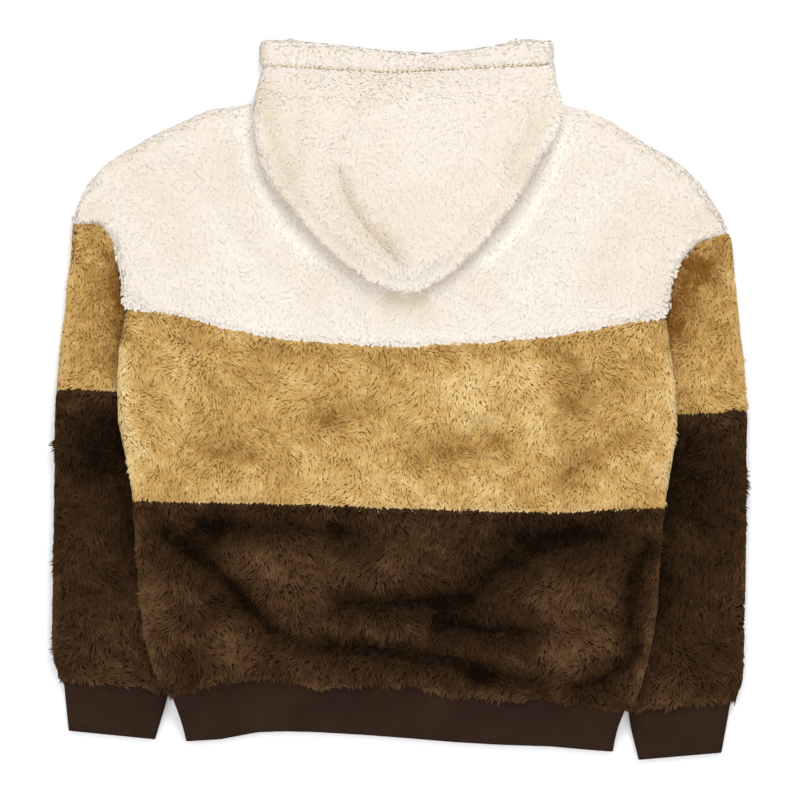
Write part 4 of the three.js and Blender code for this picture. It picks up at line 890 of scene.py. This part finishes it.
def casing_stations():
    """The casing's path in rows: its middle x, y, z, the direction across it x, y, half its width, and
    its upward direction x, y, z.

    It turns round the opening's corners in half circles and runs straight to the throat."""
    rows = []
    for side in (-1, 1):
        part = []
        edge = opening[0] if side < 0 else opening[-1]
        for k in range(1, 8):
            turn = np.pi / 2 - (k / 8) * np.pi
            c, s = np.cos(turn), np.sin(turn)
            middle_y, half = (edge[1] + edge[2]) / 2, (edge[1] - edge[2]) / 2 - SEAM_GAP
            x, z = edge[0] + side * case_radius * c, case_low + case_radius * (1 + s)
            part.append((x, middle_y, z, 0, -1, half, side * c, 0, s))
        start, stop = (neck_middle + side * 122, 394), (neck_middle + side * 12.5, 253)
        slope = np.arctan2(start[1] - stop[1], abs(start[0] - stop[0]))
        for along in (0, 0.06, 0.14, 0.4, 0.7, 1):
            turn = slope * smooth(along / 0.14)
            part.append((
                mix(start[0], stop[0], along), mix(start[1], stop[1], along), case_low,
                side * np.sin(turn), -np.cos(turn), 12.5, 0, 0, -1,
            ))
        if side < 0:
            rows += part[::-1]
            for x, high, low in opening:
                rows.append((x, (high + low) / 2, case_top, 0, -1, (high - low) / 2 - SEAM_GAP, 0, 0, 1))
        else:
            rows += part
    return np.array(rows)


stations = casing_stations()
station_column = [curve(np.arange(len(stations)), stations[:, k], soften=0.9) for k in range(9)]


def casing_strip(u, v):
    """u goes round the section, an oval with squarer corners, and v along the path from throat to throat.

    The section swells to a knob at the left corner, and it stays above the surface."""
    row = v * (len(stations) - 1)
    x, y, z, across_x, across_y, half, up_x, up_y, up_z = (column(row) for column in station_column)
    turn = 2 * np.pi * u
    aside = np.sign(np.cos(turn)) * np.abs(np.cos(turn)) ** 0.65
    upward = np.sign(np.sin(turn)) * np.abs(np.sin(turn)) ** 0.75
    knob = np.exp(-(((x + 150) / 8) ** 2))

    def ring(wide, thick):
        """The section at that half width and half thickness, on its place of the path."""
        wide, thick = wide * (1 + 0.06 * knob), thick * (1 + 0.6 * knob)
        return np.stack([
            x + across_x * aside * wide + up_x * upward * thick,
            y + across_y * aside * wide + up_y * upward * thick,
            np.maximum(z + up_z * upward * thick, 0.2),
        ], -1)

    return ring(half, CASING / 2), ring(half - CASING_WALL, CASING / 2 - CASING_WALL), 0 * u


def on_top_of_casing(outer, normal):
    """Where the casing shows: past the hood's upper edge, and clear of the surface that it lies on."""
    return (outer[:, 1] > 362) & (outer[:, 2] > 3.5)


body = cloth("hood_casing_cloth", casing_strip, 24, 160, cream_wool[4], ring=True)
dress(body, cream_backing, "hood_casing")
wool = pile(
    "hood_casing_pile", casing_strip, 56, 960, 71, hood_painted_shade, cream_wool, shown=on_top_of_casing, trim=0.8,
)
dress(wool, None)


def stitches(first, last, count):
    """A row of beige stitches that hold the casing down: each has a four-sided middle and two points."""
    on_casing, half_thread = 17.3, 1.3
    middle = np.linspace(first, last, count)
    line = curve(opening[:, 0], opening[:, 2])
    rng = np.random.default_rng(9)
    half = 3.3 + 1.2 * rng.random(count)
    low = line(middle) + 0.7 + 0.4 * rng.standard_normal(count)
    slope = (line(middle + 4) - line(middle - 4)) / 8
    x = middle[:, None] + np.array([-1, 0, 0, 0, 0, 1]) * half[:, None]
    y = low[:, None] + slope[:, None] * (x - middle[:, None])
    y = y + np.array([0, half_thread, 0, -half_thread, 0, 0])
    z = on_casing + np.array([-0.4, 0, 0.6, 0, -0.9, -0.4]) + 0 * x
    corner = np.array([
        [0, 2, 1], [0, 3, 2], [0, 4, 3], [0, 1, 4], [5, 1, 2], [5, 2, 3], [5, 3, 4], [5, 4, 1],
    ])
    faces = (np.arange(count)[:, None, None] * 6 + corner).reshape(-1, 3)
    points = np.stack([x, y, z], -1).reshape(-1, 3)
    return new_mesh("casing_stitches", (points + pattern_middle) / 1000, faces[:, ::-1])


thread = finish("casing_thread", 0.9, Base_Color=(*linear(220, 206, 178), 1))[0]
sewn = dress(stitches(-145, 160, 60), thread)


# The ribbing: a plain dark brown knitted band round the hem, and a cuff on each sleeve, double and
# stretched a little where it is sewn on. Its fine ribs run along the garment.
RIB = 2.4
rib_bend = RIB + AIR / 2


def rib_finish():
    """Fine upright ribs: a sine of each piece's own count of millimetres round it."""
    rib_apart = 2.2
    material, shader, start = finish("brown_rib", 0.92, Sheen_Weight=0.03, Specular_IOR_Level=0.04)
    round_it = start.made("Fac", "ShaderNodeAttribute", {"attribute_name": "round_it"})
    wave = round_it.math("SINE", round_it * (2 * np.pi / rib_apart)) * 0.5 + 0.5
    place = start.made("Object", "ShaderNodeTexCoord")
    fuzz = start.made("Fac", "ShaderNodeTexNoise", Vector=place, Scale=900.0, Detail=2.0)
    wear = start.made("Fac", "ShaderNodeTexNoise", Vector=place, Scale=22.0, Detail=3.0)
    # The colour is deeper in the grooves between the ribs, where the bump is low: painted shade. The fuzz
    # and wear are random tone.
    level = (wave * 0.28 + fuzz * 0.4 + (wear - 0.5) * 0.6 + 0.12).held()
    stops = [(0.0, linear(26, 16, 11)), (1.0, linear(60, 42, 31))]
    ramp = start.node("ShaderNodeValToRGB", {"stops": stops}, Fac=level)
    material.node_tree.links.new(ramp.outputs["Color"], shader.inputs["Base Color"])
    bump = start.node("ShaderNodeBump", Strength=0.7, Distance=0.0008, Height=wave + fuzz * 0.5)
    material.node_tree.links.new(bump.outputs["Normal"], shader.inputs["Normal"])
    return material


def ribbed(name, surface, across, down, millimetres, node):
    """A band of ribbing with the count of millimetres round it, there and back so that it has no jump."""
    band = cloth(name, surface, across, down, 1, ring=True)
    count = len(band.data.vertices) // 2 // down
    there = np.abs(np.linspace(-1, 1, count, endpoint=False)) * millimetres / 2
    values = np.tile(np.repeat(there, down), 2).astype(np.float32)
    band.data.attributes.new("round_it", "FLOAT", "POINT").data.foreach_set("value", values)
    return dress(band, brown_rib, node)


brown_rib = rib_finish()
cuffs = {
    "left": np.array([(-325.5, -378, -259, 0.118), (-345, -376, -264, 0.112), (-381, -372, -275, 0.1)]),
    "right": np.array([(-346.5, 372, 256, 0.105), (-368, 368, 259, 0.095), (-404, 361, 268, 0.086)]),
}


def cuff_shape(x, y, from_edge, up):
    """A cuff is its two layers high all over, with no loft, and it has no pile."""
    return rib_bend + 0 * x, 1 + 0 * x, 0 * x, 1 + 0 * x


for word, table in cuffs.items():
    tube = flat_tube(table, table[0, 0], table[-1, 0], RIB, cuff_shape)
    band = ribbed(f"cuff_{word}_band", tube, 120, 12, 222, f"cuff_{word}")

# y, left edge, right edge of the hem band
hem_sides = np.array([
    (-396, -238, 239), (-383, -240, 241), (-366, -244, 245), (-350, -249, 251), (-330, -256, 258),
])
hem_left = curve(hem_sides[:, 0], hem_sides[:, 1])
hem_right = curve(hem_sides[:, 0], hem_sides[:, 2])


def hem_band(u, v):
    """The band over u round it, from the left fold over the top, and v down from its seam.

    Its folds are half circles, and it comes down from the body's height over 60% of its depth."""
    corners = [0, 0.03, 0.5, 0.53, 1]
    turn = np.interp(u, corners, np.array([-0.5, 0.5, 0.5, 1.5, 1.5]) * np.pi) * -1 + np.pi
    share = np.interp(u, corners, [0, 0, 1, 1, 0])
    x = mix(-250, 250, share)
    y = mix(seam["rib"](x) - SEAM_GAP, seam["hem"](x), v)
    for _ in range(3):
        centre = mix(hem_left(y) + rib_bend, hem_right(y) - rib_bend, share)
        y = mix(seam["rib"](centre) - SEAM_GAP, seam["hem"](centre), v)
    fall = smooth(v / 0.6)
    middle = mix(BEND + SEAM_GAP / 2, rib_bend, fall) + lift(centre, y) * mix(1, 0.8, fall)

    def ring(size):
        """The round of the folds at that radius, drawn out between them."""
        return np.stack([centre + size * np.cos(turn), y, middle + size * np.sin(turn)], -1)

    return ring(rib_bend), ring(AIR / 2), 1 + 0 * u


band = ribbed("hem_band", hem_band, 300, 12, 990, "hem_rib")
